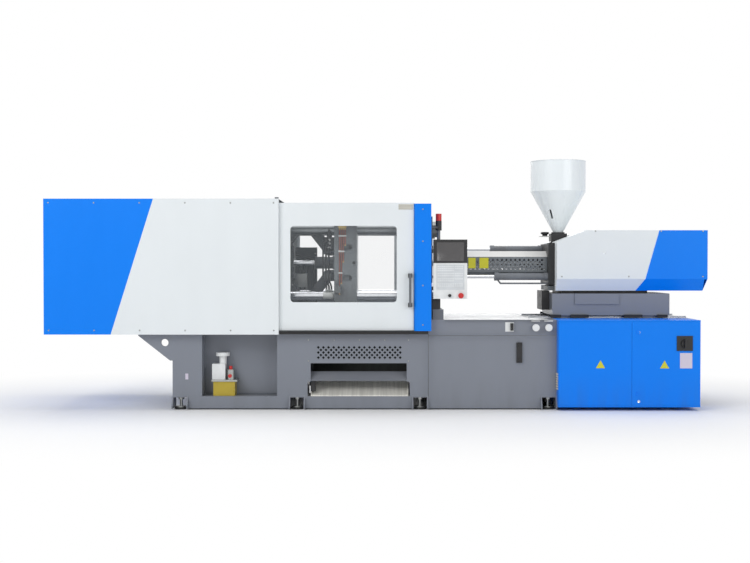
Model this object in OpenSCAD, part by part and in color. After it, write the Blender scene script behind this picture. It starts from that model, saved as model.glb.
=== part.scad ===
// Horizontal injection moulding machine with a five-point double toggle clamp.
// Millimetres, +Z up, +X from the clamp unit to the injection unit, operator at -Y.
// X = 0 is the middle of the machine's length, and Z = 0 is the floor.

/* [Clamp unit] */
// Height of the clamping and injection axis above the floor
axis_z = 1206; // [1196:1:1216]
// Place of the fixed platen's mould face along the machine
mould_face_x = 244; // [234:1:254]
// Width and height of a platen
platen_w = 770; // [750:2:780]
// Thickness of the fixed and moving platens
platen_t = 190; // [180:1:200]
// Thickness of the rear platen
rear_platen_t = 180; // [150:2:190]
// Spacing of the tie bars, both ways
bar_pitch = 560; // [550:2:574]
// Radius of a tie bar
bar_r = 40; // [34:1:42]
// Smallest mould height, with the toggle locked and the rear platen forward
min_mould = 180; // [170:2:200]
// Travel of the rear platen for thicker moulds
mould_travel = 320; // [260:5:320]

/* [Toggle] */
// Length of each main link between pins
link_len = 340; // [334:1:344]
// Height of the main pins above and below the axis
pin_h = 110; // [108:1:112]
// Angle of the rear link at rest, from the axis
rest_angle = 52; // [45:1:60]
// Angle of the links when the clamp is locked
lock_angle = 2; // [1:0.5:3]
// Radius of the main pins
main_pin_r = 30; // [26:1:34]
// Radius of the eyes around the main pins
eye_r = 48; // [44:1:50]
// Distance from the rear pin to the crosshead link's pin
arm_len = 135; // [130:1:138]
// Angle between the rear link and its arm
arm_angle = 18; // [16:1:19]
// Radius of the crosshead pins
small_pin_r = 18; // [14:1:20]
// Thickness of the inner link plates
inner_plate_t = 45; // [35:1:47]
// Thickness of the outer link plates
outer_plate_t = 40; // [30:1:44]
// Radius of the guide rods of the crosshead
guide_r = 20; // [16:1:22]
// Running clearance of pins, rods and pistons, in radius
fit = 0.05; // [0.02:0.01:0.09]

/* [Clamp cylinder and ejector] */
// Radius of the clamp piston rod
rod_r = 32; // [26:1:36]
// Radius of the clamp cylinder's bore
clamp_bore_r = 60; // [55:1:65]
// Wall of the clamp cylinder
clamp_wall = 22; // [15:1:26]
// Length of the clamp cylinder
clamp_cyl_len = 480; // [440:5:500]
// Stroke of the ejector
ejector_stroke = 100; // [80:5:110]
// Radius of an ejector rod
ejector_rod_r = 14; // [10:1:18]
// Radius of the locating ring bore
locating_r = 62.5; // [50:0.5:80]
// Radius of a mould bolt's tapped hole
mould_bolt_r = 8; // [6:0.5:10]
// Spacing of the mould bolts across the machine
bolt_pitch_y = 280; // [210:10:350]
// Spacing of the mould bolts in height
bolt_pitch_z = 420; // [350:10:420]

/* [Bed] */
// Width of the bed
bed_w = 1120; // [1080:10:1140]
// Height of the bed's top
bed_top = 738; // [730:1:744]
// Height of the bottom rail
rail_top = 110; // [100:1:120]
// Gap between the floor and the bottom rail
rail_gap = 10; // [6:1:14]
// Height of the seam under the bed's upper band
band_z = 613; // [600:1:618]
// Width of the well between the bed's side beams
well_w = 500; // [480:10:520]
// Length of the clamp bed
clamp_bed_len = 2097; // [2080:1:2120]
// Length of the post at the clamp bed's end
post_len = 242; // [200:2:260]
// Length of the recess with the lubrication unit
recess_len = 616; // [600:2:640]
// Depth of that recess
recess_depth = 180; // [150:5:200]
// Length of the oil tank, as far as the cabinets
tank_len = 1055; // [1040:1:1060]
// Length of the tail between the cabinets
tail_len = 1155; // [1140:5:1170]
// Width of the tail between the cabinets
tail_w = 560; // [520:10:600]
// Width of the product drop passage
passage_len = 800; // [760:10:840]
// Height of the drop passage
passage_h = 120; // [100:5:125]
// Pitch of the perforations in sheet panels
perforation_pitch = 42; // [36:1:50]
// Radius of a levelling pad
pad_r = 55; // [45:1:60]

/* [Covers and gates] */
// Half width of the machine over the clamp covers
cover_y = 640; // [630:1:660]
// Length of the clamp covers
cover_len = 1910; // [1880:5:1960]
// Height of the covers' lower edge
cover_z0 = 621; // [616:1:628]
// Height of the covers' top
cover_z1 = 1726; // [1716:1:1746]
// Thickness of cover sheet
sheet = 3; // [2:0.5:4]
// Thickness of a safety gate
gate_t = 40; // [34:1:42]
// Length of a safety gate
gate_len = 1113; // [1100:1:1120]
// Height of a gate's lower edge
gate_z0 = 654; // [650:1:660]
// Height of a gate's upper edge
gate_z1 = 1694; // [1680:1:1700]
// Length of a gate's window
window_len = 867; // [840:1:880]
// Height of a gate's window
window_h = 623; // [600:1:640]
// Radius of the window's corners
window_r = 30; // [20:1:40]
// Length of a gate column
column_len = 138; // [120:1:144]
// Depth of a gate column
column_w = 80; // [70:1:90]
// Height of a gate column's top
column_z1 = 1686; // [1680:1:1700]

/* [Cabinets] */
// Half width of the machine over the front cabinet's doors
cabinet_y = 650; // [640:1:670]
// Half width of the machine over the rear cabinet's door
rear_cabinet_y = 690; // [660:1:710]
// How far the main switch's handle stands out of its door
switch_proud = 46; // [40:1:56]
// Height of the front cabinet above the floor
cabinet_z0 = 30; // [20:1:40]
// Thickness of a cabinet door
door_t = 20; // [16:1:24]
// Length of the rear cabinet
rear_cabinet_len = 900; // [860:10:940]
// Height of the rear cabinet's top
rear_cabinet_z1 = 660; // [640:5:680]

/* [Injection unit] */
// Radius of the barrel
barrel_r = 52; // [46:1:54]
// Radius of the screw
screw_r = 25; // [20:1:28]
// Place of the nozzle's tip behind the mould face
nozzle_gap = 170; // [168:1:180]
// Length of the nozzle
nozzle_len = 130; // [110:2:140]
// Length of the barrel in front of its housing
barrel_len = 880; // [870:1:890]
// Thickness of the housing's front plate
housing_plate_t = 80; // [60:2:90]
// Screw stroke
screw_stroke = 200; // [160:5:220]
// Half width of the injection cover
hood_y = 350; // [330:1:370]
// Length of the injection cover
injection_cover_len = 1263; // [1250:1:1280]
// Radius of a carriage cylinder
seat_cyl_r = 30; // [26:1:32]
// Radius of a carriage cylinder's rod
seat_rod_r = 15; // [12:1:18]
// Radius of the injection cylinders
inject_cyl_r = 62; // [55:1:66]
// Radius of the hopper
hopper_r = 236; // [210:2:260]
// Height of the hopper's top, without its lid
hopper_z1 = 2078; // [2060:1:2100]
// Height of the seam between the hopper's cylinder and cone
hopper_seam_z = 1820; // [1780:1:1860]
// Radius of the hopper's outlet
outlet_r = 43; // [34:1:46]

/* [Control panel] */
// Width of the control panel
panel_w = 275; // [260:1:290]
// Height of the control panel
panel_h = 482; // [470:1:500]
// Thickness of the control panel
panel_t = 60; // [50:1:70]
// Height of the panel's lower edge
panel_z0 = 912; // [900:1:920]

/* [Hidden] */
$fn = 48;
seat_gap = 0.3;
blue = [0.01, 0.50, 0.95];
white = [0.91, 0.93, 0.94];
bed_grey = [0.48, 0.50, 0.54];
steel = [0.75, 0.76, 0.78];
cast = [0.44, 0.46, 0.47];
black = [0.09, 0.09, 0.10];
cream = [0.86, 0.80, 0.68];
red = [0.78, 0.10, 0.10];
yellow = [0.80, 0.78, 0.10];

half_bed = bed_w / 2;
half_well = well_w / 2;
half_platen = platen_w / 2;
bar_y = bar_pitch / 2;
back_x = mould_face_x + platen_t;
bed_x1 = back_x - 44;
bed_x0 = bed_x1 - clamp_bed_len;
recess_x0 = bed_x0 + post_len;
recess_x1 = recess_x0 + recess_len;
tank_x1 = bed_x1 + tank_len;
tail_x1 = tank_x1 + tail_len;
passage_x1 = bed_x1 - 163;
passage_x0 = passage_x1 - passage_len;

ear_len = 60;
rear_ear_len = 70;
pin_x = mould_face_x - min_mould - platen_t - ear_len - 2 * link_len * cos(lock_angle);
rear_face_x = pin_x - rear_ear_len;
rear_back_x = rear_face_x - rear_platen_t;
front_pin_x = pin_x + 2 * link_len * cos(rest_angle);
moving_back_x = front_pin_x + ear_len;
moving_face_x = moving_back_x + platen_t;
cross_x = pin_x + 2 * arm_len * cos(rest_angle + arm_angle);
pin_z = axis_z + pin_h;
rear_pin = [pin_x, pin_z];
knee = rear_pin + link_len * [cos(rest_angle), sin(rest_angle)];
front_pin = [front_pin_x, pin_z];
arm_pin = rear_pin + arm_len * [cos(rest_angle + arm_angle), sin(rest_angle + arm_angle)];
cross_pin = [cross_x, pin_z];
small_y0 = 62;
small_y1 = 92;
inner_y0 = 95;
inner_y1 = inner_y0 + inner_plate_t;
outer_y0 = 145;
outer_y1 = outer_y0 + outer_plate_t;
guide_y = 150;
bar_x0 = rear_back_x - mould_travel - 110;
bar_x1 = back_x + 60;

gate_x1 = mould_face_x + 26;
gate_x0 = gate_x1 - gate_len;
gate_lap = 13;
cover_x1 = gate_x0 + gate_lap;
cover_x0 = cover_x1 - cover_len;
gate_y = cover_y - 35;
window_x0 = gate_x0 + 107;
window_z0 = gate_z0 + 229;
column_x0 = gate_x1 + 4;
column_x1 = column_x0 + column_len;

cabinet_x1 = tail_x1;
door_split = tank_x1 + 597;
rear_cabinet_x0 = cabinet_x1 - rear_cabinet_len;

nozzle_x = mould_face_x + nozzle_gap;
barrel_x0 = nozzle_x + nozzle_len;
housing_x = barrel_x0 + barrel_len;
hopper_x = housing_x + 117;
hood_x0 = housing_x + 53;
hood_x1 = hood_x0 + injection_cover_len;
carriage_x0 = housing_x + 24;
carriage_x1 = carriage_x0 + 989;
carriage_z0 = bed_top + 24;
carriage_z1 = carriage_z0 + 184;
swivel_z1 = carriage_z1 + 24;
seat_y = 190;
seat_dz = 118;
inject_y = 150;
rear_housing_x = housing_x + 240;
inject_x1 = rear_housing_x + screw_stroke + 100;
thrust_x = inject_x1 + screw_stroke + 20;

panel_x0 = column_x1 + 17;
panel_x1 = panel_x0 + panel_w;
panel_z1 = panel_z0 + panel_h;
hinge_x = column_x1 + 9;
hinge_y = 8 - cover_y;

// A block between two corners
module block(x, y, z) {
  translate([x[0], y[0], z[0]])
    cube([x[1] - x[0], y[1] - y[0], z[1] - z[0]]);
}

// A round bar along X
module bar_along_x(r, x, y, z) {
  translate([x[0], y, z])
    rotate([0, 90, 0])
      cylinder(r = r, h = x[1] - x[0]);
}

// A round bar along Y
module bar_along_y(r, x, y, z) {
  translate([x, y[1], z])
    rotate([90, 0, 0])
      cylinder(r = r, h = y[1] - y[0]);
}

// A round bar along Z
module bar_along_z(r, x, y, z) {
  translate([x, y, z[0]])
    cylinder(r = r, h = z[1] - z[0]);
}

// An outline in X and Z, given thickness along Y
module slab(y) {
  translate([0, y[1], 0])
    rotate([90, 0, 0])
      linear_extrude(y[1] - y[0])
        children();
}

// An outline in Y and Z, given length along X
module beam(x) {
  translate([x[0], 0, 0])
    rotate([90, 0, 90])
      linear_extrude(x[1] - x[0])
        children();
}

// The same piece on the operator's side and on the rear side
module both_sides() {
  children();
  mirror([0, 1, 0])
    children();
}

// The same piece above and below the machine's axis
module below_axis() {
  translate([0, 0, 2 * axis_z])
    mirror([0, 0, 1])
      children();
}

// The same piece at each tie bar
module at_bars() {
  for (y = [-bar_y, bar_y], z = [axis_z - bar_y, axis_z + bar_y])
    translate([0, y, z])
      children();
}

// A rectangle with round corners
module round_rect(x, z, r) {
  translate([x[0] + r, z[0]])
    square([x[1] - x[0] - 2 * r, z[1] - z[0]]);
  translate([x[0], z[0] + r])
    square([x[1] - x[0], z[1] - z[0] - 2 * r]);
  for (cx = [x[0] + r, x[1] - r], cz = [z[0] + r, z[1] - r])
    translate([cx, cz])
      circle(r);
}

// A straight strip between two points
module strip(a, b, half_w) {
  side = half_w * [a[1] - b[1], b[0] - a[0]] / norm(b - a);
  polygon([a + side, b + side, b - side, a - side]);
}

// Staggered diamond holes that fill a rectangle
module diamonds(x, z, pitch) {
  columns = floor((x[1] - x[0]) / pitch);
  rows = floor((z[1] - z[0]) / pitch);
  for (i = [0 : 2 * columns - 2], j = [0 : 2 * rows - 2])
    if ((i + j) % 2 == 0)
      translate([x[0] + (i + 1) * pitch / 2, z[0] + (j + 1) * pitch / 2])
        rotate(45)
          square(pitch * 0.42, center = true);
}

// Bars of a louvred vent on a wall that faces along Y
module louvres_y(x, y, z, count) {
  pitch = (z[1] - z[0]) / count;
  for (i = [0 : count - 1])
    block(x, y, [z[0] + (i + 0.25) * pitch, z[0] + (i + 0.8) * pitch]);
}

foot_places = [bed_x0 + 62, recess_x1 + 163, bed_x1 - 66, tank_x1 - 66];
tail_foot_x = tail_x1 - 150;
tail_half = tail_w / 2;
foot_y = half_bed - 60;
tail_foot_y = tail_half - 70;
notch_len = 112;
rail_depth = 140;
shelf_t = 10;

// Notch of a levelling foot in the bottom rail
module foot_notch(x, y1) {
  block([x - notch_len / 2, x + notch_len / 2], [y1 - rail_depth - 1, y1 + 1], [0, rail_top - shelf_t]);
}

// The pair of gussets beside a foot
module foot_gussets(x, y1) {
  for (gx = [x - notch_len / 2 - 10, x + notch_len / 2])
    beam([gx, gx + 10])
      polygon([[y1, rail_gap], [y1 + 42, rail_gap], [y1 + 42, rail_gap + 30], [y1, rail_top]]);
}

bay_x0 = passage_x0 - 27;
bay_x1 = passage_x1 + 13;
bay_z1 = band_z - 23;
seam_t = 58;
bracket_len = 281;
bracket_drop = 218;
eye_hole_r = 30;

// Welded clamp bed: end post, side beams round an open well, and a bay for the product chute
module clamp_bed() {
  color(bed_grey)
    difference() {
      union() {
        block([bed_x0, recess_x0], [-half_bed, half_bed], [rail_top, bed_top]);
        block([bed_x1 - seam_t, bed_x1], [-half_bed, half_bed], [rail_top, bed_top]);
        both_sides() {
          block([recess_x0, bed_x1 - seam_t], [half_well, half_bed], [band_z, bed_top]);
          block([recess_x0, recess_x1], [half_well, half_bed - recess_depth], [rail_top, band_z]);
          block([recess_x1, bed_x1 - seam_t], [half_well, half_bed], [rail_top, band_z]);
          block([bed_x0, bed_x1], [half_bed - rail_depth, half_bed], [rail_gap, rail_top]);
          for (i = [0 : 2])
            foot_gussets(foot_places[i], half_bed);
        }
      }
      both_sides() {
        block([bay_x0, bay_x1], [half_well - 1, half_bed + 1], [rail_top, bay_z1]);
        for (i = [0 : 2])
          foot_notch(foot_places[i], half_bed);
      }
    }
}

panel_sheet = 4;
slide_top = [half_well, 500];
slide_foot = [-half_bed + 14, rail_top + 6];

// Folded chute panels with perforations, a slot and a lip, and the slide that leads parts to the front
module product_chute() {
  color(bed_grey)
    both_sides() {
      slab([half_bed - panel_sheet, half_bed])
        difference() {
          translate([bay_x0, 381])
            square([bay_x1 - bay_x0, bay_z1 - 381]);
          diamonds([passage_x0 + 41, passage_x1 - 6], [406, 572], perforation_pitch);
        }
      for (x = [bay_x0, bay_x1 - 26])
        block([x, x + 26], [half_bed - panel_sheet, half_bed], [rail_top + passage_h, 381]);
      beam([bay_x0, bay_x1])
        strip([half_bed - 2, rail_top + passage_h + 7], [half_bed - 90, 305], 2);
      block([bay_x0, bay_x1], [half_well, half_well + panel_sheet], [385, bay_z1]);
    }
  color(steel) {
    beam([passage_x0, passage_x1])
      polygon([slide_foot, slide_foot - [0, 6], slide_foot + [-12, -6], slide_foot + [-12, -2],
               slide_foot + [-4, -2], slide_foot + [-4, 2], slide_top, slide_top - [0, 5]]);
    for (x = [passage_x0, passage_x1 - panel_sheet])
      beam([x, x + panel_sheet])
        polygon([slide_foot, slide_foot + [0, 50], slide_top + [-40, 60], slide_top + [0, 60], slide_top]);
  }
}

vent_w = 190;

// Welded injection bed: oil tank, narrower tail between the cabinets, lifting lugs and end vents
module injection_bed() {
  color(bed_grey)
    difference() {
      union() {
        block([bed_x1, tank_x1], [-half_bed, half_bed], [rail_top, bed_top]);
        block([tank_x1, rear_cabinet_x0], [tail_half, half_bed], [rail_top, bed_top]);
        block([tank_x1, tail_x1], [-tail_half, tail_half], [bed_top - 12, bed_top]);
        block([tail_x1 - 12, tail_x1], [-tail_half, tail_half], [rail_top, bed_top - 12]);
        for (x = [tank_x1 + 255, tank_x1 + 575])
          block([x, x + 60], [-tail_half, tail_half], [rail_top, rail_top + 30]);
        both_sides() {
          block([tank_x1, tail_x1], [tail_half - 12, tail_half], [rail_top, bed_top - 12]);
          block([bed_x1, tank_x1], [half_bed - rail_depth, half_bed], [rail_gap, rail_top]);
          block([tank_x1 - 40, tail_x1], [tail_half - rail_depth, tail_half], [rail_gap, rail_top]);
          foot_gussets(foot_places[3], half_bed);
        }
        for (y = [-150, 150], i = [0 : 7])
          block([tail_x1, tail_x1 + 6], [y - vent_w / 2, y + vent_w / 2], [330 + 26 * i, 344 + 26 * i]);
      }
      both_sides() {
        foot_notch(foot_places[3], half_bed);
        foot_notch(tail_foot_x, tail_half);
      }
    }
}

// Plates with sling holes, welded to the two ends of the beds
module lifting_brackets() {
  color(bed_grey)
    difference() {
      both_sides() {
        slab([half_bed - 20, half_bed])
          polygon([[bed_x0 - bracket_len, cover_z0], [bed_x0 - bracket_len, cover_z0 - 14],
                   [bed_x0 - 21, cover_z0 - bracket_drop], [bed_x0, cover_z0 - bracket_drop],
                   [bed_x0, cover_z0]]);
        slab([tail_half - 40, tail_half - 20])
          polygon([[tail_x1, bed_top - 20], [tail_x1 + 70, bed_top - 50],
                   [tail_x1 + 70, bed_top - 110], [tail_x1, bed_top - 150]]);
      }
      bar_along_y(eye_hole_r, bed_x0 - 63, [-half_bed - 1, half_bed + 1], cover_z0 - 71);
      bar_along_y(eye_hole_r - 6, tail_x1 + 36, [-half_bed, half_bed], bed_top - 82);
    }
}

// A levelling foot: round pad, jack screw and lock nut under the rail's shelf
module levelling_foot(x, y) {
  bar_along_z(pad_r, x, y, [0, 16]);
  bar_along_z(pad_r - 14, x, y, [16, 24]);
  bar_along_z(12, x, y, [24, rail_top - shelf_t]);
  translate([x, y, rail_top - shelf_t - 20])
    cylinder(r = 24, h = 20, $fn = 6);
}

module machine_feet() {
  color(cast)
    both_sides() {
      for (x = foot_places)
        levelling_foot(x, foot_y);
      levelling_foot(tail_foot_x, tail_foot_y);
    }
}

gauge_x = bed_x1 + 747;
filler_x = bed_x1 + 667;
knob_places = [tank_x1 - 176, tank_x1 - 71];

// Oil level gauge, filler plate and the two valve knobs of the tank
module tank_fittings() {
  color(black) {
    block([gauge_x - 23, gauge_x + 23], [-half_bed - 18, -half_bed], [386, 552]);
    bar_along_y(10, gauge_x, [-half_bed - 26, -half_bed - 18], 404);
    bar_along_y(10, gauge_x, [-half_bed - 26, -half_bed - 18], 534);
    block([filler_x + 6, filler_x + 30], [-half_bed - 26, -half_bed - 4], [650, 710]);
  }
  color(white) {
    block([filler_x - 35, filler_x + 35], [-half_bed - 4, -half_bed], [641, 718]);
    for (x = knob_places) {
      bar_along_y(10, x, [-half_bed - 24, -half_bed], 675);
      bar_along_y(29, x, [-half_bed - 46, -half_bed - 24], 675);
      block([x - 34, x + 34], [-half_bed - 30, -half_bed], [bed_top - 12, bed_top - 6]);
    }
  }
}

lub_x0 = recess_x0 + 74;
lub_x1 = lub_x0 + 211;
lub_y = half_bed - recess_depth;

// Lubrication pump: oil reservoir, flange, timer, pump body and filler cap
module lubrication_unit() {
  color(yellow)
    block([lub_x0 + 14, lub_x1 - 20], [-lub_y - 150, -lub_y - 22], [rail_top, 228]);
  color(steel)
    block([lub_x0, lub_x1], [-lub_y - 160, -lub_y], [228, 242]);
  color(white) {
    block([lub_x0, lub_x0 + 108], [-lub_y - 120, -lub_y - 20], [242, 370]);
    bar_along_z(30, lub_x0 + 84, -lub_y - 70, [370, 434]);
    bar_along_z(56, lub_x0 + 84, -lub_y - 70, [434, 462]);
  }
  color(steel)
    bar_along_z(36, lub_x1 - 62, -lub_y - 76, [242, 322]);
  color(red) {
    bar_along_z(14, lub_x1 - 62, -lub_y - 76, [322, 350]);
    bar_along_y(15, lub_x1 - 62, [-lub_y - 140, -lub_y - 112], 272);
  }
}

platen_z0 = axis_z - half_platen;
platen_z1 = axis_z + half_platen;
platen_foot = 82;

// Tapped holes for mould clamps in a platen's mould face
module mould_holes(x0, x1) {
  for (y = [-bolt_pitch_y / 2, bolt_pitch_y / 2],
       z = [axis_z - bolt_pitch_z / 2, axis_z + bolt_pitch_z / 2])
    bar_along_x(mould_bolt_r, [x0, x1], y, z);
}

// Sector pockets between the ribs that run from a platen's middle to its corners
module rib_pockets(inner_r, outer_r, rib) {
  difference() {
    circle(outer_r);
    circle(inner_r);
    for (a = [45, 135])
      rotate(a)
        square([3 * outer_r, rib], center = true);
  }
}

// Cast fixed platen with ribs at its back, and its foot on the bed
module stationary_platen() {
  color(cast)
    difference() {
      union() {
        block([mould_face_x, back_x], [-half_platen, half_platen], [platen_z0, platen_z1]);
        block([mould_face_x, back_x + platen_foot], [-half_platen, half_platen], [bed_top, platen_z0]);
      }
      bar_along_x(locating_r, [mould_face_x - 1, back_x + 1], 0, axis_z);
      translate([mould_face_x + 60, 0, axis_z])
        rotate([0, 90, 0])
          cylinder(r1 = locating_r, r2 = 125, h = platen_t - 60 + 0.1, $fn = 64);
      at_bars()
        bar_along_x(bar_r, [mould_face_x - 1, back_x + 1], 0, 0);
      mould_holes(mould_face_x - 1, mould_face_x + 40);
      translate([back_x - 70, 0, axis_z])
        rotate([90, 0, 90])
          linear_extrude(71)
            rib_pockets(160, 330, 120);
      both_sides()
        block([mould_face_x + 60, back_x + platen_foot + 1], [half_platen - 120, half_platen - 40],
              [bed_top - 1, platen_z0 - 20]);
    }
}

// Four chromed tie bars, each with its nut behind the fixed platen
module tie_bars() {
  color(steel)
    at_bars() {
      bar_along_x(bar_r, [bar_x0, bar_x1], 0, 0);
      translate([back_x, 0, 0])
        rotate([0, 90, 0])
          cylinder(r = bar_r + 26, h = 46, $fn = 6);
      bar_along_x(bar_r + 30, [back_x + 46, back_x + 52], 0, 0);
    }
}

rail_y0 = half_bed - 40;
track_y1 = gate_y - seat_gap;
frame_z1 = cover_z1 - sheet;
beam_z0 = 1640;
beam_z1 = 1690;

// Gate tracks, roof posts and the hoop that carries the clamp covers
module cover_frame() {
  color(bed_grey)
    both_sides() {
      block([bed_x0 + 7, bed_x0 + 57], [rail_y0 - 20, half_bed - 20], [bed_top, frame_z1]);
      block([cover_x1 - 45, cover_x1 - 5], [rail_y0, half_bed], [bed_top, frame_z1]);
      block([bed_x0 + 57, cover_x1 - 45], [rail_y0, half_bed], [beam_z0, beam_z1]);
      block([cover_x1 - 5, column_x1 - 10], [rail_y0, half_bed], [beam_z0, beam_z1]);
      block([bed_x0, column_x0 - 1], [half_bed, gate_y - gate_t - seat_gap], [gate_z1 - 24, gate_z1 - 4]);
      block([bed_x0, column_x0 - 1], [half_bed, track_y1], [gate_z0 - 22, gate_z0 - seat_gap]);
    }
}

split_top = 892;
split_bottom = 544;

// Outline of the blue end field of a clamp cover
module cover_blue_outline() {
  polygon([[cover_x0, cover_z0], [cover_x0 + split_bottom, cover_z0], [cover_x0 + split_top, cover_z1],
           [cover_x0, cover_z1]]);
}

// Outline of the white field of a clamp cover
module cover_white_outline() {
  polygon([[cover_x0 + split_bottom, cover_z0], [cover_x1, cover_z0], [cover_x1, cover_z1],
           [cover_x0 + split_top, cover_z1]]);
}

// Folded side cover of the clamp unit, in a blue and a white panel
module clamp_side_cover() {
  color(blue) {
    slab([cover_y - sheet, cover_y])
      cover_blue_outline();
    block([cover_x0 + sheet, cover_x0 + split_bottom], [half_bed, cover_y - sheet],
          [cover_z0, cover_z0 + sheet]);
  }
  color(white) {
    slab([cover_y - sheet, cover_y])
      cover_white_outline();
    block([cover_x0 + split_bottom, cover_x1], [half_bed, cover_y - sheet], [cover_z0, cover_z0 + sheet]);
    block([cover_x1 - sheet, cover_x1], [gate_y + 4, cover_y - sheet],
          [cover_z0 + sheet, cover_z1 - sheet]);
  }
}

module clamp_cover_front() {
  mirror([0, 1, 0])
    clamp_side_cover();
}

module clamp_cover_rear() {
  clamp_side_cover();
}

// Roof, end panel and floor pan of the clamp covers
module clamp_cover_top() {
  inner_y = cover_y - sheet;
  color(white)
    block([cover_x0, cover_x1], [-inner_y, inner_y], [cover_z1 - sheet, cover_z1]);
  color(blue) {
    difference() {
      block([cover_x0, cover_x0 + sheet], [-inner_y, inner_y], [cover_z0, cover_z1 - sheet]);
      for (i = [0 : 5])
        block([cover_x0 - 1, cover_x0 + sheet + 1], [-160, 160], [1180 + 26 * i, 1192 + 26 * i]);
    }
    block([cover_x0 + sheet, bed_x0 - bracket_len + 60], [-half_bed, half_bed],
          [cover_z0, cover_z0 + sheet]);
  }
  color(bed_grey)
    both_sides()
      block([cover_x1 - 30, cover_x1], [inner_y - 40, inner_y], [cover_z1, cover_z1 + 12]);
}

lug_z = [panel_z0 + 70, panel_z1 - 110];
lug_h = 30;
hinge_pin_r = 4;

rear_stop_x = column_x0 + column_len / 2;
rear_stop_z = 1330;

// Blue columns beside the mould space, with the hinge lugs of the control panel
module gate_columns() {
  color(blue)
    difference() {
      both_sides()
        translate([0, 0, gate_z0 - 4])
          linear_extrude(column_z1 - gate_z0 + 4)
            polygon([[column_x0, cover_y - column_w], [column_x1, cover_y - column_w],
                     [column_x1, cover_y], [column_x0 + 16, cover_y], [column_x0, cover_y - 16]]);
      bar_along_y(stem_r + fit, rear_stop_x, [cover_y - 20, cover_y + 1], rear_stop_z);
    }
  color(black)
    for (z = lug_z) {
      block([column_x1, hinge_x], [hinge_y - 7, hinge_y + 7], [z, z + lug_h]);
      bar_along_z(7, hinge_x, hinge_y, [z, z + lug_h]);
      bar_along_z(hinge_pin_r, hinge_x, hinge_y, [z + lug_h, z + 2 * lug_h]);
    }
}

lamp_x = column_x1 + 64;
lamp_y = 15 - half_bed;

// Alarm lamp on its post, with the post's pedestal on the bed
module alarm_lamp() {
  color(bed_grey) {
    block([column_x1 + 18, column_x1 + 104], [1 - half_bed, 90 - half_bed], [bed_top, 823]);
    bar_along_z(14, lamp_x, lamp_y, [911, 1470]);
    block([column_x1, lamp_x], [lamp_y - 30, lamp_y + 10], [1482, 1500]);
  }
  color(black) {
    block([column_x1 + 13, column_x1 + 78], [1 - half_bed, 60 - half_bed], [823, 911]);
    bar_along_z(25, lamp_x, lamp_y, [1470, 1549]);
  }
  color(red)
    bar_along_z(24, lamp_x, lamp_y, [1549, 1607]);
}

wall = 4;
lip = 12;
inner_cabinet_y = tail_half + seat_gap;
front_door_z0 = cabinet_z0 + lip + 1;
front_door_z1 = bed_top - lip - 1;
pivot_in = 8;
pivot_r = 5;

// Front cabinet: welded shell with top and bottom lips that hold the doors' pivots
module front_cabinet() {
  color(blue)
    difference() {
      block([tank_x1, cabinet_x1], [-cabinet_y, -inner_cabinet_y], [cabinet_z0, bed_top]);
      block([tank_x1 + wall, door_split - 12], [-cabinet_y - 1, -inner_cabinet_y - wall],
            [cabinet_z0 + lip, bed_top - lip]);
      block([door_split + 12, cabinet_x1 - wall], [-cabinet_y - 1, -inner_cabinet_y - wall],
            [cabinet_z0 + lip, bed_top - lip]);
      block([tank_x1 - 1, cabinet_x1 + 1], [-cabinet_y - 1, 4 + door_t - cabinet_y],
            [cabinet_z0 + lip, bed_top - lip]);
      for (x = [tank_x1 + pivot_in, cabinet_x1 - pivot_in])
        bar_along_z(pivot_r + fit, x, door_t / 2 - cabinet_y, [cabinet_z0 - 1, bed_top + 1]);
    }
  color(cream)
    for (i = [0 : 6])
      block([tank_x1 - 8, tank_x1], [-cabinet_y + 24, -half_bed - 8], [171 + 20 * i, 183 + 20 * i]);
}

// A cabinet door with its face at y: folded tray with a pivot pin at top and bottom
module door_tray(x, y, z, pivot_x) {
  difference() {
    block(x, [y, y + door_t], z);
    block([x[0] + 16, x[1] - 16], [y + 3, y + door_t + 1], [z[0] + 16, z[1] - 16]);
  }
  for (pin_z = [[z[0] - 9, z[0]], [z[1], z[1] + 9]])
    bar_along_z(pivot_r, pivot_x, y + door_t / 2, pin_z);
}

// A round key lock on a door's face
module door_lock(x, y, z) {
  bar_along_y(13, x, [y - 6, y], z);
}

front_doors_z = [front_door_z0, front_door_z1];

module front_left_door() {
  color(blue)
    door_tray([tank_x1 + 1, door_split - 1], -cabinet_y, front_doors_z, tank_x1 + pivot_in);
}

switch_x = door_split + 428;
switch_z = 550;

module front_right_door() {
  color(blue)
    door_tray([door_split + 1, cabinet_x1 - 1], -cabinet_y, front_doors_z, cabinet_x1 - pivot_in);
  color(black) {
    for (z = [140, 640])
      door_lock(door_split + 50, -cabinet_y, z);
    block([switch_x - 65, switch_x + 65], [-cabinet_y - 6, -cabinet_y], [switch_z - 61, switch_z + 61]);
    bar_along_y(14, switch_x, [-cabinet_y - 12, -cabinet_y - 6], switch_z);
  }
}

// Rotary handle of the main switch
module main_switch() {
  y0 = -cabinet_y - 12 - seat_gap;
  y1 = y0 - 12;
  color(black) {
    bar_along_y(30, switch_x, [y1, y0], switch_z);
    block([switch_x - 8, switch_x + 8], [-cabinet_y - switch_proud, y1], [switch_z - 34, switch_z + 34]);
  }
}

rear_door_z1 = rear_cabinet_z1 - 70;
rear_inner_z1 = rear_door_z1 + 1;

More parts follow.
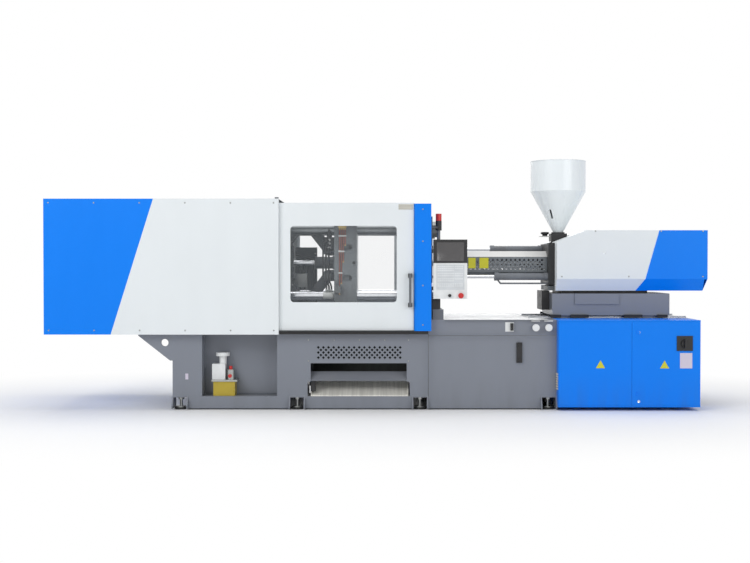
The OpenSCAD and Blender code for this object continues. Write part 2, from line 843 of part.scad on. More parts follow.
// Rear cabinet with a sloping roof, open towards its door
module rear_cabinet() {
  color(blue)
    difference() {
      beam([rear_cabinet_x0, cabinet_x1])
        polygon([[inner_cabinet_y, cabinet_z0], [rear_cabinet_y, cabinet_z0],
                 [rear_cabinet_y, rear_cabinet_z1 - 55], [inner_cabinet_y, rear_cabinet_z1]]);
      block([rear_cabinet_x0 + wall, cabinet_x1 - wall], [inner_cabinet_y + wall, rear_cabinet_y + 1],
            [cabinet_z0 + lip, rear_inner_z1]);
      block([rear_cabinet_x0 - 1, cabinet_x1 + 1], [rear_cabinet_y - door_t - 4, rear_cabinet_y + 1],
            [cabinet_z0 + lip, rear_inner_z1]);
      bar_along_z(pivot_r + fit, rear_cabinet_x0 + pivot_in, rear_cabinet_y - door_t / 2,
                  [cabinet_z0 - 1, rear_cabinet_z1 + 1]);
    }
}

// Rear door with four louvred vents
module rear_door() {
  mirror([0, 1, 0]) {
    color(blue) {
      door_tray([rear_cabinet_x0 + 1, cabinet_x1 - 1], -rear_cabinet_y, [front_door_z0, rear_door_z1],
                rear_cabinet_x0 + pivot_in);
      door_lock(cabinet_x1 - 60, -rear_cabinet_y, rear_door_z1 - 60);
    }
    color(cream)
      for (x = [rear_cabinet_x0 + 150, rear_cabinet_x0 + 530], z = [90, 350])
        louvres_y([x, x + 230], [-rear_cabinet_y - 6, -rear_cabinet_y], [z, z + 200], 9);
  }
}

// Two mains sockets with flaps on the rear cabinet's end
module power_sockets() {
  for (y = [inner_cabinet_y + 90, inner_cabinet_y + 230]) {
    color(white)
      block([cabinet_x1, cabinet_x1 + 34], [y - 48, y + 48], [410, 530]);
    color(red) {
      bar_along_x(40, [cabinet_x1 + 34, cabinet_x1 + 62], y, 470);
      block([cabinet_x1 + 34, cabinet_x1 + 50], [y - 20, y + 20], [505, 524]);
    }
  }
}

back_plate_y = inner_cabinet_y + wall;

// Mounting plate of the front cabinet with rails, breakers, contactors and a drive
module switchgear() {
  color(steel)
    for (x = [[tank_x1 + 80, door_split - 40], [door_split + 40, cabinet_x1 - 80]])
      block(x, [-back_plate_y - 6, -back_plate_y], [90, 680]);
  color(white)
    for (x = [tank_x1 + 120 : 54 : door_split - 120])
      block([x, x + 50], [-back_plate_y - 70, -back_plate_y - 6], [540, 630]);
  color(black) {
    for (x = [tank_x1 + 120 : 84 : door_split - 120])
      block([x, x + 74], [-back_plate_y - 96, -back_plate_y - 6], [340, 440]);
    for (x = [[tank_x1 + 120, door_split - 60], [door_split + 60, cabinet_x1 - 120]])
      block(x, [-back_plate_y - 50, -back_plate_y - 6], [470, 500]);
  }
  color(bed_grey)
    difference() {
      block([door_split + 60, door_split + 330], [-back_plate_y - 190, -back_plate_y - 6], [130, 440]);
      for (i = [0 : 7])
        block([door_split + 80 + 30 * i, door_split + 92 + 30 * i],
              [-back_plate_y - 191, -back_plate_y - 176], [160, 410]);
    }
}

guide_rail_y = 205;
guide_rail_w = 36;
seat_piston_x = housing_x - 284;

// Two linear guide rails on the injection bed, and the rods and pistons of the carriage
// cylinders, fixed to the back of the fixed platen
module carriage_guides() {
  color(steel) {
    both_sides()
      translate([0, guide_rail_y, bed_top])
        beam([tank_x1 - 190, tail_x1 - 10])
          polygon([[0, 0], [guide_rail_w, 0], [guide_rail_w, 6], [guide_rail_w - 5, 11],
                   [guide_rail_w, 16], [0, 16], [5, 11], [0, 6]]);
    for (s = [-1, 1]) {
      bar_along_x(seat_rod_r, [back_x, seat_piston_x], s * seat_y, axis_z + s * seat_dz);
      bar_along_x(seat_cyl_r - 6 - fit, [seat_piston_x, seat_piston_x + 22], s * seat_y,
                  axis_z + s * seat_dz);
    }
  }
}

motor_z = 340;

// Hydraulic pump, its bell housing and the servo motor, on their feet inside the tail
module pump_motor() {
  color(cast) {
    bar_along_x(62, [tank_x1 + 90, tank_x1 + 200], 0, motor_z);
    bar_along_x(96, [tank_x1 + 200, tank_x1 + 260], 0, motor_z);
    for (x = [tank_x1 + 265, tank_x1 + 585])
      block([x, x + 40], [-110, 110], [rail_top + 30, motor_z - 90]);
  }
  color(black)
    difference() {
      bar_along_x(118, [tank_x1 + 260, tank_x1 + 640], 0, motor_z);
      for (a = [0 : 20 : 340])
        translate([tank_x1 + 280, 0, motor_z])
          rotate([a, 0, 0])
            block([0, 340], [-5, 5], [108, 120]);
    }
}

shoe_w = 80;
shoe_y0 = half_platen - shoe_w;

// Sliding shoes under a platen
module platen_shoes(x0, x1) {
  both_sides()
    block([x0, x1], [shoe_y0, half_platen], [bed_top + seat_gap, platen_z0]);
}

// Ears for the main pins, on both sides and above and below the axis
module pin_ears(root_x, pin, y) {
  for (up = [0, 1])
    translate([0, 0, up == 0 ? 0 : 2 * axis_z])
      mirror([0, 0, up])
        both_sides()
          slab(y)
            difference() {
              union() {
                translate(pin)
                  circle(eye_r);
                strip([root_x, pin[1]], pin, eye_r);
              }
              translate(pin)
                circle(main_pin_r);
            }
}

// Short pins for those ears
module ear_pins(pin, y) {
  for (z = [pin[1], 2 * axis_z - pin[1]])
    both_sides()
      bar_along_y(main_pin_r, pin[0], y, z);
}

cyl_r = clamp_bore_r + clamp_wall;

// Cast rear platen with the ears of the rear links and their pins
module rear_platen() {
  color(cast) {
    difference() {
      union() {
        block([rear_back_x, rear_face_x], [-half_platen, half_platen], [platen_z0, platen_z1]);
        platen_shoes(rear_back_x, rear_face_x);
      }
      at_bars()
        bar_along_x(bar_r + fit, [rear_back_x - 1, rear_face_x + 1], 0, 0);
      bar_along_x(rod_r + fit, [rear_back_x - 1, rear_face_x + 1], 0, axis_z);
      translate([rear_back_x - 1, 0, axis_z])
        rotate([90, 0, 90])
          linear_extrude(61)
            rib_pockets(200, 330, 130);
    }
    pin_ears(rear_face_x, rear_pin, [outer_y0, outer_y1]);
  }
  color(steel)
    ear_pins(rear_pin, [inner_y0 - 1, outer_y1 + 3]);
}

// Outline of a spur gear in its own plane
module gear_outline(root_r, tip_r, teeth) {
  step = 360 / teeth;
  polygon([for (i = [0 : teeth - 1], k = [0 : 3])
    let (a = step * (i + [-0.28, -0.14, 0.14, 0.28][k]), r = k == 0 || k == 3 ? root_r : tip_r)
      r * [cos(a), sin(a)]]);
}

nut_r = 84;
ring_r = bar_y * sqrt(2) - nut_r - 2.3;

// Threaded die height nuts on the tie bars, and the ring gear that turns them together
module die_height_gears() {
  color(steel) {
    at_bars()
      difference() {
        union() {
          bar_along_x(nut_r - 16, [rear_back_x - 80, rear_back_x], 0, 0);
          translate([rear_back_x - 44, 0, 0])
            rotate([90, 0, 90])
              linear_extrude(24)
                gear_outline(nut_r - 4, nut_r + 2, 36);
        }
        bar_along_x(bar_r + fit, [rear_back_x - 81, rear_back_x + 1], 0, 0);
      }
    difference() {
      translate([rear_back_x - 44, 0, axis_z])
        rotate([90, 0, 90])
          linear_extrude(24)
            gear_outline(ring_r - 6, ring_r, 120);
      bar_along_x(ring_r - 30, [rear_back_x - 45, rear_back_x - 19], 0, axis_z);
    }
    for (a = [45 : 90 : 315])
      translate([0, 0, axis_z])
        rotate([a, 0, 0])
          bar_along_x(18, [rear_back_x - 52, rear_back_x], 0, ring_r - 48 - seat_gap);
  }
}

cyl_x0 = rear_back_x - clamp_cyl_len;

// Clamp cylinder with its flange, end cap and tie rods
module clamp_cylinder() {
  color(cast) {
    difference() {
      union() {
        bar_along_x(cyl_r, [cyl_x0, rear_back_x], 0, axis_z);
        bar_along_x(cyl_r + 38, [rear_back_x - 30, rear_back_x], 0, axis_z);
        block([cyl_x0 + 2, cyl_x0 + 32], [-cyl_r - 12, cyl_r + 12],
              [axis_z - cyl_r - 12, axis_z + cyl_r + 12]);
      }
      bar_along_x(clamp_bore_r + fit, [cyl_x0 - 1, rear_back_x - 18], 0, axis_z);
      bar_along_x(rod_r + fit, [rear_back_x - 19, rear_back_x + 1], 0, axis_z);
    }
    difference() {
      block([cyl_x0 - 28, cyl_x0], [-cyl_r - 12, cyl_r + 12], [axis_z - cyl_r - 12, axis_z + cyl_r + 12]);
      bar_along_y(10, cyl_x0 - 14, [cyl_r - 20, cyl_r + 13], axis_z);
    }
  }
  color(steel)
    for (y = [-cyl_r, cyl_r], z = [axis_z - cyl_r, axis_z + cyl_r])
      bar_along_x(9, [cyl_x0 - 40, cyl_x0 - 28], y, z);
}

guide_x1 = pin_x + 284;

// Guide rods of the crosshead
module crosshead_guide_rods() {
  color(steel)
    both_sides() {
      bar_along_x(guide_r, [rear_face_x, guide_x1], guide_y, axis_z);
      bar_along_x(guide_r + 12, [rear_face_x, rear_face_x + 20], guide_y, axis_z);
    }
}

// One plate of the upper rear link, with its rear bore
module rear_link_outline() {
  difference() {
    union() {
      strip(rear_pin, knee, eye_r - 6);
      strip(rear_pin, arm_pin, small_pin_r + 10);
      strip(arm_pin, rear_pin + 0.62 * (knee - rear_pin), small_pin_r + 6);
      translate(rear_pin)
        circle(eye_r);
      translate(knee)
        circle(eye_r);
      translate(arm_pin)
        circle(small_pin_r + 18);
    }
    translate(rear_pin)
      circle(main_pin_r + fit);
  }
}

// Upper rear link: two plates joined by a knee tube, with the knee pin and the arm's pins pressed in
module upper_rear_link() {
  color(cast) {
    both_sides()
      slab([inner_y0, inner_y1])
        rear_link_outline();
    bar_along_y(main_pin_r + 9, knee[0], [-inner_y0, inner_y0], knee[1]);
  }
  color(steel)
    both_sides() {
      bar_along_y(main_pin_r, knee[0], [inner_y1, outer_y1 + 5], knee[1]);
      bar_along_y(small_pin_r, arm_pin[0], [small_y0 - 2, inner_y0], arm_pin[1]);
    }
}

module lower_rear_link() {
  below_axis()
    upper_rear_link();
}

// The two outer plates of a front link, joined by a cross member
module upper_front_link() {
  middle = (knee + front_pin) / 2;
  color(cast) {
    both_sides()
      slab([outer_y0, outer_y1])
        difference() {
          union() {
            strip(knee, front_pin, eye_r - 8);
            translate(knee)
              circle(eye_r);
            translate(front_pin)
              circle(eye_r);
          }
          for (p = [knee, front_pin])
            translate(p)
              circle(main_pin_r + fit);
        }
    slab([-outer_y0, outer_y0])
      strip(middle - 0.08 * (front_pin - knee), middle + 0.08 * (front_pin - knee), 26);
  }
}

module lower_front_link() {
  below_axis()
    upper_front_link();
}

// The two thin links between the rear link's arm and the crosshead
module upper_crosshead_link() {
  color(cast)
    both_sides()
      slab([small_y0, small_y1])
        difference() {
          union() {
            strip(arm_pin, cross_pin, small_pin_r + 8);
            translate(arm_pin)
              circle(small_pin_r + 14);
            translate(cross_pin)
              circle(small_pin_r + 14);
          }
          for (p = [arm_pin, cross_pin])
            translate(p)
              circle(small_pin_r + fit);
        }
}

module lower_crosshead_link() {
  below_axis()
    upper_crosshead_link();
}

cross_half = 32;
piston_back = 620;
piston_t = 50;

// Crosshead with its link pins, guide wings, piston rod and piston
module crosshead() {
  color(cast)
    difference() {
      union() {
        block([cross_x - cross_half, cross_x + cross_half], [-small_y0 + 5, small_y0 - 5],
              [axis_z - pin_h - 30, axis_z + pin_h + 30]);
        block([cross_x - cross_half, cross_x + cross_half], [-guide_y - 25, guide_y + 25],
              [axis_z - 36, axis_z + 36]);
      }
      both_sides()
        bar_along_x(guide_r + fit, [cross_x - cross_half - 1, cross_x + cross_half + 1], guide_y, axis_z);
      for (z = [axis_z - pin_h, axis_z + pin_h])
        bar_along_y(small_pin_r, cross_x, [-small_y0, small_y0], z);
    }
  color(steel) {
    for (z = [axis_z - pin_h, axis_z + pin_h])
      bar_along_y(small_pin_r, cross_x, [-small_y1, small_y1], z);
    bar_along_x(rod_r, [cross_x - piston_back + piston_t, cross_x - cross_half], 0, axis_z);
    bar_along_x(clamp_bore_r, [cross_x - piston_back, cross_x - piston_back + piston_t], 0, axis_z);
  }
}

pocket_y = 180;
pocket_z = 55;
pocket_wall = 40;
ejector_plate_t = 24;
ejector_rods = [-120, 0, 120];

// Cast moving platen with side pockets, an ejector pocket, ears and shoes
module moving_platen() {
  color(cast) {
    difference() {
      union() {
        block([moving_back_x, moving_face_x], [-half_platen, half_platen], [platen_z0, platen_z1]);
        platen_shoes(moving_back_x + 10, moving_face_x);
      }
      at_bars()
        bar_along_x(bar_r + fit, [moving_back_x - 1, moving_face_x + 1], 0, 0);
      block([moving_back_x - 1, moving_face_x - pocket_wall], [-pocket_y, pocket_y],
            [axis_z - pocket_z, axis_z + pocket_z]);
      for (y = ejector_rods)
        bar_along_x(ejector_rod_r + fit, [moving_face_x - pocket_wall - 1, moving_face_x + 1], y, axis_z);
      mould_holes(moving_face_x - pocket_wall, moving_face_x + 1);
      both_sides()
        for (dz = [-128, 128])
          slab([half_platen - 30, half_platen + 1])
            round_rect([moving_back_x + 70, moving_back_x + 150], [axis_z + dz - 26, axis_z + dz + 26], 25);
      translate([moving_back_x - 1, 0, axis_z])
        rotate([90, 0, 90])
          linear_extrude(61)
            difference() {
              rib_pockets(205, 330, 130);
              square([2 * (pocket_y + 30), 2 * (pocket_z + 30)], center = true);
            }
    }
    pin_ears(moving_back_x, front_pin, [inner_y0, inner_y1]);
  }
  color(steel)
    ear_pins(front_pin, [inner_y0 - 1, outer_y1 + 3]);
}

ejector_cyl_len = 180;
ejector_x = moving_face_x - pocket_wall - ejector_stroke - ejector_plate_t - 3;

// Ejector cylinder and its flange on the back of the moving platen
module ejector_cylinder() {
  color(cast)
    difference() {
      union() {
        block([moving_back_x - 20, moving_back_x], [-pocket_y - 14, pocket_y + 14],
              [axis_z - pocket_z - 3, axis_z + pocket_z + 3]);
        bar_along_x(52, [moving_back_x - ejector_cyl_len, moving_back_x - 20], 0, axis_z);
      }
      bar_along_x(26 + fit, [moving_back_x - ejector_cyl_len + 15, moving_back_x - 20], 0, axis_z);
      bar_along_x(16 + fit, [moving_back_x - 21, moving_back_x + 1], 0, axis_z);
    }
}

// Ejector plate with its three rods, and the cylinder's rod and piston
module ejector_plate() {
  color(steel) {
    block([ejector_x, ejector_x + ejector_plate_t], [-pocket_y + 20, pocket_y - 20],
          [axis_z - pocket_z + 10, axis_z + pocket_z - 10]);
    for (y = ejector_rods)
      bar_along_x(ejector_rod_r, [ejector_x + ejector_plate_t, moving_face_x - 1], y, axis_z);
    bar_along_x(16, [moving_back_x - ejector_cyl_len + 42, ejector_x], 0, axis_z);
    bar_along_x(26, [moving_back_x - ejector_cyl_len + 20, moving_back_x - ejector_cyl_len + 42],
                0, axis_z);
  }
}

rim = 22;
window_x1 = window_x0 + window_len;
window_z1 = window_z0 + window_h;
handle_x = gate_x1 - 30;
handle_z = [844, 1118];

// Folded safety gate: outer sheet with a window, turned edges and a window frame
module gate_shell() {
  difference() {
    slab([gate_y - gate_t, gate_y])
      difference() {
        translate([gate_x0, gate_z0])
          square([gate_len, gate_z1 - gate_z0]);
        round_rect([window_x0, window_x1], [window_z0, window_z1], window_r);
      }
    slab([gate_y - gate_t - 1, gate_y - sheet])
      difference() {
        translate([gate_x0 + sheet, gate_z0 + sheet])
          square([gate_len - 2 * sheet, gate_z1 - gate_z0 - 2 * sheet]);
        translate([window_x0 - rim, window_z0 - rim])
          square([window_len + 2 * rim, window_h + 2 * rim]);
      }
    block([window_x0 - rim + sheet, window_x1 + rim - sheet], [gate_y - gate_t - 1, gate_y - sheet],
          [window_z0 - rim + sheet, window_z1 + rim - sheet]);
  }
}

// Clear pane behind a gate's window
module gate_pane() {
  inset = rim - sheet;
  slab([gate_y - sheet - 5, gate_y - sheet])
    translate([window_x0 - inset, window_z0 - inset])
      square([window_len + 2 * inset, window_h + 2 * inset]);
}

// Gate handle: grey bar between two black feet
module gate_handle() {
  color(black)
    for (z = [handle_z[0], handle_z[1] - 34])
      block([handle_x - 16, handle_x + 16], [gate_y, gate_y + 38], [z, z + 34]);
  color(bed_grey)
    block([handle_x - 10, handle_x + 10], [gate_y + 38, gate_y + 56], handle_z);
}

module front_gate() {
  mirror([0, 1, 0]) {
    color(white)
      gate_shell();
    gate_handle();
  }
}

module front_gate_window() {
  color([0.8, 0.9, 0.95, 0.3])
    mirror([0, 1, 0])
      gate_pane();
}

module rear_gate() {
  color(white)
    gate_shell();
  gate_handle();
}

module rear_gate_window() {
  color([0.8, 0.9, 0.95, 0.3])
    gate_pane();
}

carriage_half = 290;

// Cast carriage base on four bearing blocks, with the swivel plate and front stop block
module carriage_base() {
  color(bed_grey) {
    difference() {
      union() {
        block([carriage_x0, carriage_x1], [-carriage_half, carriage_half], [carriage_z0, carriage_z1 - 40]);
        block([carriage_x0 + 190, carriage_x0 + 560], [-carriage_half - 14, carriage_half + 14],
              [carriage_z1 - 90, carriage_z1]);
        block([carriage_x0, carriage_x1], [-carriage_half, carriage_half], [carriage_z1 - 40, carriage_z1]);
      }
      block([carriage_x0 + 40, carriage_x1 - 40], [-guide_rail_y + 30, guide_rail_y - 30],
            [carriage_z0 - 1, carriage_z1 - 40]);
    }
    for (x = [carriage_x0 + 30, carriage_x1 - 230])
      both_sides()
        difference() {
          block([x, x + 200], [guide_rail_y - 24, guide_rail_y + guide_rail_w + 24],
                [bed_top + 3, carriage_z0]);
          beam([x - 1, x + 201])
            polygon([[guide_rail_y - fit, bed_top], [guide_rail_y + guide_rail_w + fit, bed_top],
                     [guide_rail_y + guide_rail_w + fit, bed_top + 16 + fit],
                     [guide_rail_y - fit, bed_top + 16 + fit]]);
        }
  }
  color(black) {
    block([carriage_x0 - 67, carriage_x0], [-140, 140], [carriage_z0 + 41, carriage_z1 + 20]);
    block([carriage_x0 + 83, carriage_x0 + 812], [-240, 240], [carriage_z1, swivel_z1]);
  }
}

barrel_bore_r = screw_r + fit;
throat_z1 = axis_z + 184;
feed_bore_r = 34;
cover_slope = 60;
cover_foot_y = hood_y - cover_slope - sheet;

// Cast injection housing: front plate, feed throat block, side walls and cylinder plate
module injection_housing() {
  color(cast)
    difference() {
      union() {
        block([housing_x, housing_x + housing_plate_t], [-seat_y - 42, seat_y + 42],
              [axis_z - seat_dz - 68, axis_z + seat_dz + 44]);
        block([housing_x + housing_plate_t, rear_housing_x], [-130, 130], [swivel_z1, axis_z + 120]);
        bar_along_z(58, hopper_x, 0, [axis_z + 100, throat_z1]);
        block([housing_x, rear_housing_x], [-200, 200], [swivel_z1, swivel_z1 + 40]);
        block([rear_housing_x - 50, rear_housing_x], [-inject_y - 80, inject_y + 80],
              [swivel_z1, axis_z + 100]);
        both_sides()
          block([rear_housing_x, thrust_x + 170], [40, 190], [swivel_z1, swivel_z1 + 32]);
        for (x = [rear_housing_x + 40, thrust_x + 130])
          block([x, x + 40], [-cover_foot_y, cover_foot_y], [swivel_z1, swivel_z1 + 8]);
      }
      bar_along_x(barrel_r, [housing_x - 1, rear_housing_x + 1], 0, axis_z);
      bar_along_z(feed_bore_r, hopper_x, 0, [axis_z, throat_z1 + 1]);
    }
}

band_places = [60, 220, 380, 540, 700];

// Barrel with its nozzle, head flange and heater bands
module barrel() {
  color(steel)
    difference() {
      union() {
        bar_along_x(barrel_r, [barrel_x0, rear_housing_x], 0, axis_z);
        translate([nozzle_x, 0, axis_z])
          rotate([0, 90, 0])
            cylinder(r1 = 12, r2 = 30, h = 26);
        bar_along_x(30, [nozzle_x + 26, barrel_x0], 0, axis_z);
        translate([barrel_x0 - 40, 0, axis_z])
          rotate([0, 90, 0])
            cylinder(r = 40, h = 40, $fn = 6);
      }
      bar_along_x(barrel_bore_r, [barrel_x0 + 14, rear_housing_x + 1], 0, axis_z);
      bar_along_x(5, [nozzle_x - 1, barrel_x0 + 15], 0, axis_z);
      bar_along_z(feed_bore_r, hopper_x, 0, [axis_z, axis_z + barrel_r + 1]);
    }
  color(cast)
    for (x = band_places)
      difference() {
        union() {
          bar_along_x(barrel_r + 9, [barrel_x0 + x, barrel_x0 + x + 120], 0, axis_z);
          block([barrel_x0 + x + 30, barrel_x0 + x + 90], [-16, 16],
                [axis_z + barrel_r + 5, axis_z + barrel_r + 26]);
        }
        bar_along_x(barrel_r, [barrel_x0 + x - 1, barrel_x0 + x + 121], 0, axis_z);
      }
}

guard_x0 = barrel_x0 + 76;
guard_half = 150;
guard_z = [axis_z - 109, axis_z - 79, axis_z + 50, axis_z + 99];

// Outline of the barrel guard's sheet, set in by a distance
module guard_outline(inset) {
  polygon([[-guard_half + 30 + inset, guard_z[0] - (inset > 0 ? 1 : 0)], [-guard_half + inset, guard_z[1]],
           [-guard_half + inset, guard_z[2]], [-guard_half + 55 + inset, guard_z[3] - inset],
           [guard_half - 55 - inset, guard_z[3] - inset], [guard_half - inset, guard_z[2]],
           [guard_half - inset, guard_z[1]], [guard_half - 30 - inset, guard_z[0] - (inset > 0 ? 1 : 0)]]);
}

// Perforated guard around the barrel, open below
module barrel_guard() {
  color(cast)
    difference() {
      beam([guard_x0, housing_x])
        difference() {
          guard_outline(0);
          guard_outline(sheet);
        }
      slab([-guard_half - 1, guard_half + 1])
        diamonds([guard_x0 + 20, housing_x - 10], [axis_z - 72, axis_z + 44], 38);
    }
}

seat_cyl_x0 = housing_x - 454;

// A hollow carriage cylinder with its caps
module seat_cylinder(y, z) {
  difference() {
    union() {
      bar_along_x(seat_cyl_r, [seat_cyl_x0, housing_x], y, z);
      bar_along_x(seat_cyl_r + 5, [seat_cyl_x0, seat_cyl_x0 + 36], y, z);
      bar_along_x(seat_cyl_r + 5, [housing_x - 30, housing_x], y, z);
    }
    bar_along_x(seat_cyl_r - 6, [seat_cyl_x0 + 24, housing_x - 20], y, z);
    bar_along_x(seat_rod_r + fit, [seat_cyl_x0 - 1, seat_cyl_x0 + 25], y, z);
  }
}

pipe_r = 7;
pipe_z = axis_z - seat_dz - 58;

// The two carriage cylinders, and the oil pipe under the front one
module carriage_cylinders() {
  color(bed_grey) {
    seat_cylinder(seat_y, axis_z + seat_dz);
    seat_cylinder(-seat_y, axis_z - seat_dz);
    bar_along_x(pipe_r, [seat_cyl_x0 + 52, housing_x], -seat_y, pipe_z);
    translate([seat_cyl_x0 + 52, -seat_y, pipe_z])
      sphere(pipe_r);
    translate([seat_cyl_x0 + 52, -seat_y, pipe_z])
      rotate([0, -38, 0])
        cylinder(r = pipe_r, h = 38);
  }
}

// The two injection cylinders on the housing's cylinder plate
module injection_cylinders() {
  color(steel)
    both_sides()
      difference() {
        union() {
          bar_along_x(inject_cyl_r, [rear_housing_x, inject_x1], inject_y, axis_z);
          bar_along_x(inject_cyl_r + 8, [inject_x1 - 40, inject_x1], inject_y, axis_z);
        }
        bar_along_x(inject_cyl_r - 14, [rear_housing_x + 20, inject_x1 - 20], inject_y, axis_z);
        bar_along_x(20 + fit, [inject_x1 - 21, inject_x1 + 1], inject_y, axis_z);
      }
}

// Outline of the injection cover from the side, between two heights
module injection_side(z0, inset) {
  x0 = hood_x0;
  x1 = hood_x1;
  polygon([[x0 + inset, z0], [x0 + inset, axis_z + 176 - inset], [x0 + 245, axis_z + 272 - inset],
           [x1 - inset, axis_z + 272 - inset], [x1 - inset, axis_z - 136], [x1 - 26 - inset, z0]]);
}

cover_foot_z = swivel_z1;
blue_top = 866;
blue_edge = 742;
blue_bottom = 671;

// Hollow body of the injection cover before it is divided by colour
module injection_shell() {
  half = hood_y;
  intersection() {
    difference() {
      slab([-half, half])
        injection_side(cover_foot_z, 0);
      slab([-half + sheet, half - sheet])
        injection_side(cover_foot_z - 1, sheet);
    }
    beam([hood_x0 - 1, hood_x1 + 1])
      polygon([[cover_slope - half, cover_foot_z], [-half, axis_z - 136], [-half, axis_z + 300],
               [half, axis_z + 300], [half, axis_z - 136], [half - cover_slope, cover_foot_z]]);
  }
}

// Folded lower edge of the cover
module injection_skirt() {
  half = hood_y;
  both_sides()
    beam([hood_x0, hood_x1 - 26])
      polygon([[half - cover_slope, cover_foot_z], [half, axis_z - 136], [half - sheet, axis_z - 136],
               [cover_foot_y, cover_foot_z]]);
}

// Field of the cover's blue tail
module injection_blue_field() {
  x0 = hood_x0;
  slab([-hood_y - 1, hood_y + 1])
    polygon([[x0 + blue_bottom, cover_foot_z - 1], [x0 + blue_edge, axis_z - 136],
             [x0 + blue_top, axis_z + 300],
             [hood_x1 + 1, axis_z + 300], [hood_x1 + 1, cover_foot_z - 1]]);
}

// Folded cover of the injection unit, in a white and a blue panel, with a slot for the feed throat
module injection_cover() {
  color(white)
    difference() {
      union() {
        injection_shell();
        injection_skirt();
      }
      injection_blue_field();
      block([hood_x0 - 1, hopper_x + 90], [-90, 90], [axis_z + 100, axis_z + 300]);
      block([hood_x0 - 1, hood_x0 + 40], [-240, 240], [cover_foot_z - 1, axis_z + 170]);
    }
  color(blue)
    intersection() {
      union() {
        injection_shell();
        injection_skirt();
      }
      injection_blue_field();
    }
  color(black)
    bar_along_y(9, hood_x0 + 398, [-hood_y - 4, -hood_y], axis_z + 86);
}

shutter_z = throat_z1 + 40;
flange_half = 68;
shutter_x1 = hopper_x + feed_bore_r + 10;
knob_x = hopper_x - flange_half - 46;
cone_z0 = throat_z1 + 80;

lid_hinge_y = hopper_r + 16;
lid_hinge_z = hopper_z1 - 8;

// Feed hopper with its cone, sight slot, lid hinge and black shutter flange
module hopper() {
  color(white)
    difference() {
      translate([hopper_x, 0, 0])
        rotate_extrude($fn = 96)
          polygon([[feed_bore_r, cone_z0], [outlet_r, cone_z0], [hopper_r, hopper_seam_z],
                   [hopper_r, hopper_z1],
                   [hopper_r - sheet, hopper_z1], [hopper_r - sheet, hopper_seam_z + 2],
                   [feed_bore_r, cone_z0 + 14]]);
      translate([hopper_x, 0, 0])
        rotate([0, 0, -36])
          block([-9, 9], [-outlet_r - 130, -outlet_r], [hopper_seam_z - 234, hopper_seam_z - 159]);
    }
  color(black)
    difference() {
      union() {
        block([hopper_x - flange_half, hopper_x + flange_half], [-flange_half, flange_half],
              [throat_z1, cone_z0 - 12]);
        bar_along_z(outlet_r + 14, hopper_x, 0, [cone_z0 - 12, cone_z0 - seat_gap]);
      }
      bar_along_z(feed_bore_r, hopper_x, 0, [throat_z1 - 1, cone_z0 + 1]);
      block([hopper_x - flange_half - 1, shutter_x1 + 6], [-46, 46], [shutter_z, shutter_z + 6]);
    }
  color(steel) {
    for (x = [hopper_x - 44, hopper_x + 32])
      block([x, x + 12], [hopper_r - 3, lid_hinge_y + 8], [lid_hinge_z - 10, lid_hinge_z + 7]);
    bar_along_x(3, [hopper_x - 44, hopper_x + 44], lid_hinge_y, lid_hinge_z);
  }
}

// Lid of the hopper, hinged at its rear edge
module hopper_lid() {
  color(white) {
    translate([hopper_x, 0, hopper_z1 + seat_gap])
      rotate_extrude($fn = 96)
        polygon([[0, 0], [hopper_r + 2, 0], [hopper_r + 2, 4], [hopper_r - 30, 6], [0, 6]]);
    difference() {
      union() {
        block([hopper_x - 30, hopper_x + 30], [hopper_r - 10, lid_hinge_y + 7],
              [hopper_z1 + seat_gap, hopper_z1 + 4]);
        block([hopper_x - 30, hopper_x + 30], [lid_hinge_y - 5, lid_hinge_y + 7],
              [lid_hinge_z, hopper_z1 + 2]);
        bar_along_x(7, [hopper_x - 30, hopper_x + 30], lid_hinge_y, lid_hinge_z);
      }
      bar_along_x(3 + fit, [hopper_x - 31, hopper_x + 31], lid_hinge_y, lid_hinge_z);
    }
  }
}

// Sliding shutter under the hopper, closed when it is pushed in, with its round knob
module hopper_gate() {
  color(steel)
    block([knob_x - 44, shutter_x1], [-45, 45], [shutter_z + 0.1, shutter_z + 5.9]);
  color(black)
    translate([knob_x, 0, shutter_z + 5.9])
      rotate_extrude()
        polygon([[0, 0], [24, 0], [20, 12], [36, 22], [36, 32], [30, 36], [0, 36]]);
}

// Thrust plate, injection rods with pistons, and the motor that turns the screw
module screw_drive() {
  color(steel)
    both_sides() {
      bar_along_x(20, [inject_x1 - 24, thrust_x], inject_y, axis_z);
      bar_along_x(inject_cyl_r - 14 - fit, [inject_x1 - 50, inject_x1 - 24], inject_y, axis_z);
    }
  color(cast)
    difference() {
      union() {
        block([thrust_x, thrust_x + 70], [-inject_y - 60, inject_y + 60], [axis_z - 100, axis_z + 100]);
        both_sides()
          block([thrust_x, thrust_x + 70], [80, 150], [swivel_z1 + 32 + seat_gap, axis_z - 100]);
      }
      bar_along_x(24 + fit, [thrust_x - 1, thrust_x + 41], 0, axis_z);
    }
  color(black) {
    bar_along_x(112, [thrust_x + 70, thrust_x + 300], 0, axis_z);
    bar_along_x(84, [thrust_x + 300, thrust_x + 430], 0, axis_z);
    for (a = [0 : 45 : 315])
      translate([0, 0, axis_z])
        rotate([a, 0, 0])
          bar_along_x(10, [thrust_x + 300, thrust_x + 312], 0, 98);
  }
}

screw_x0 = barrel_x0 + 20 + screw_stroke;
flight_x1 = rear_housing_x - 60;
flight_pitch = 2 * screw_r;
flights = floor((flight_x1 - screw_x0 - 60) / flight_pitch);

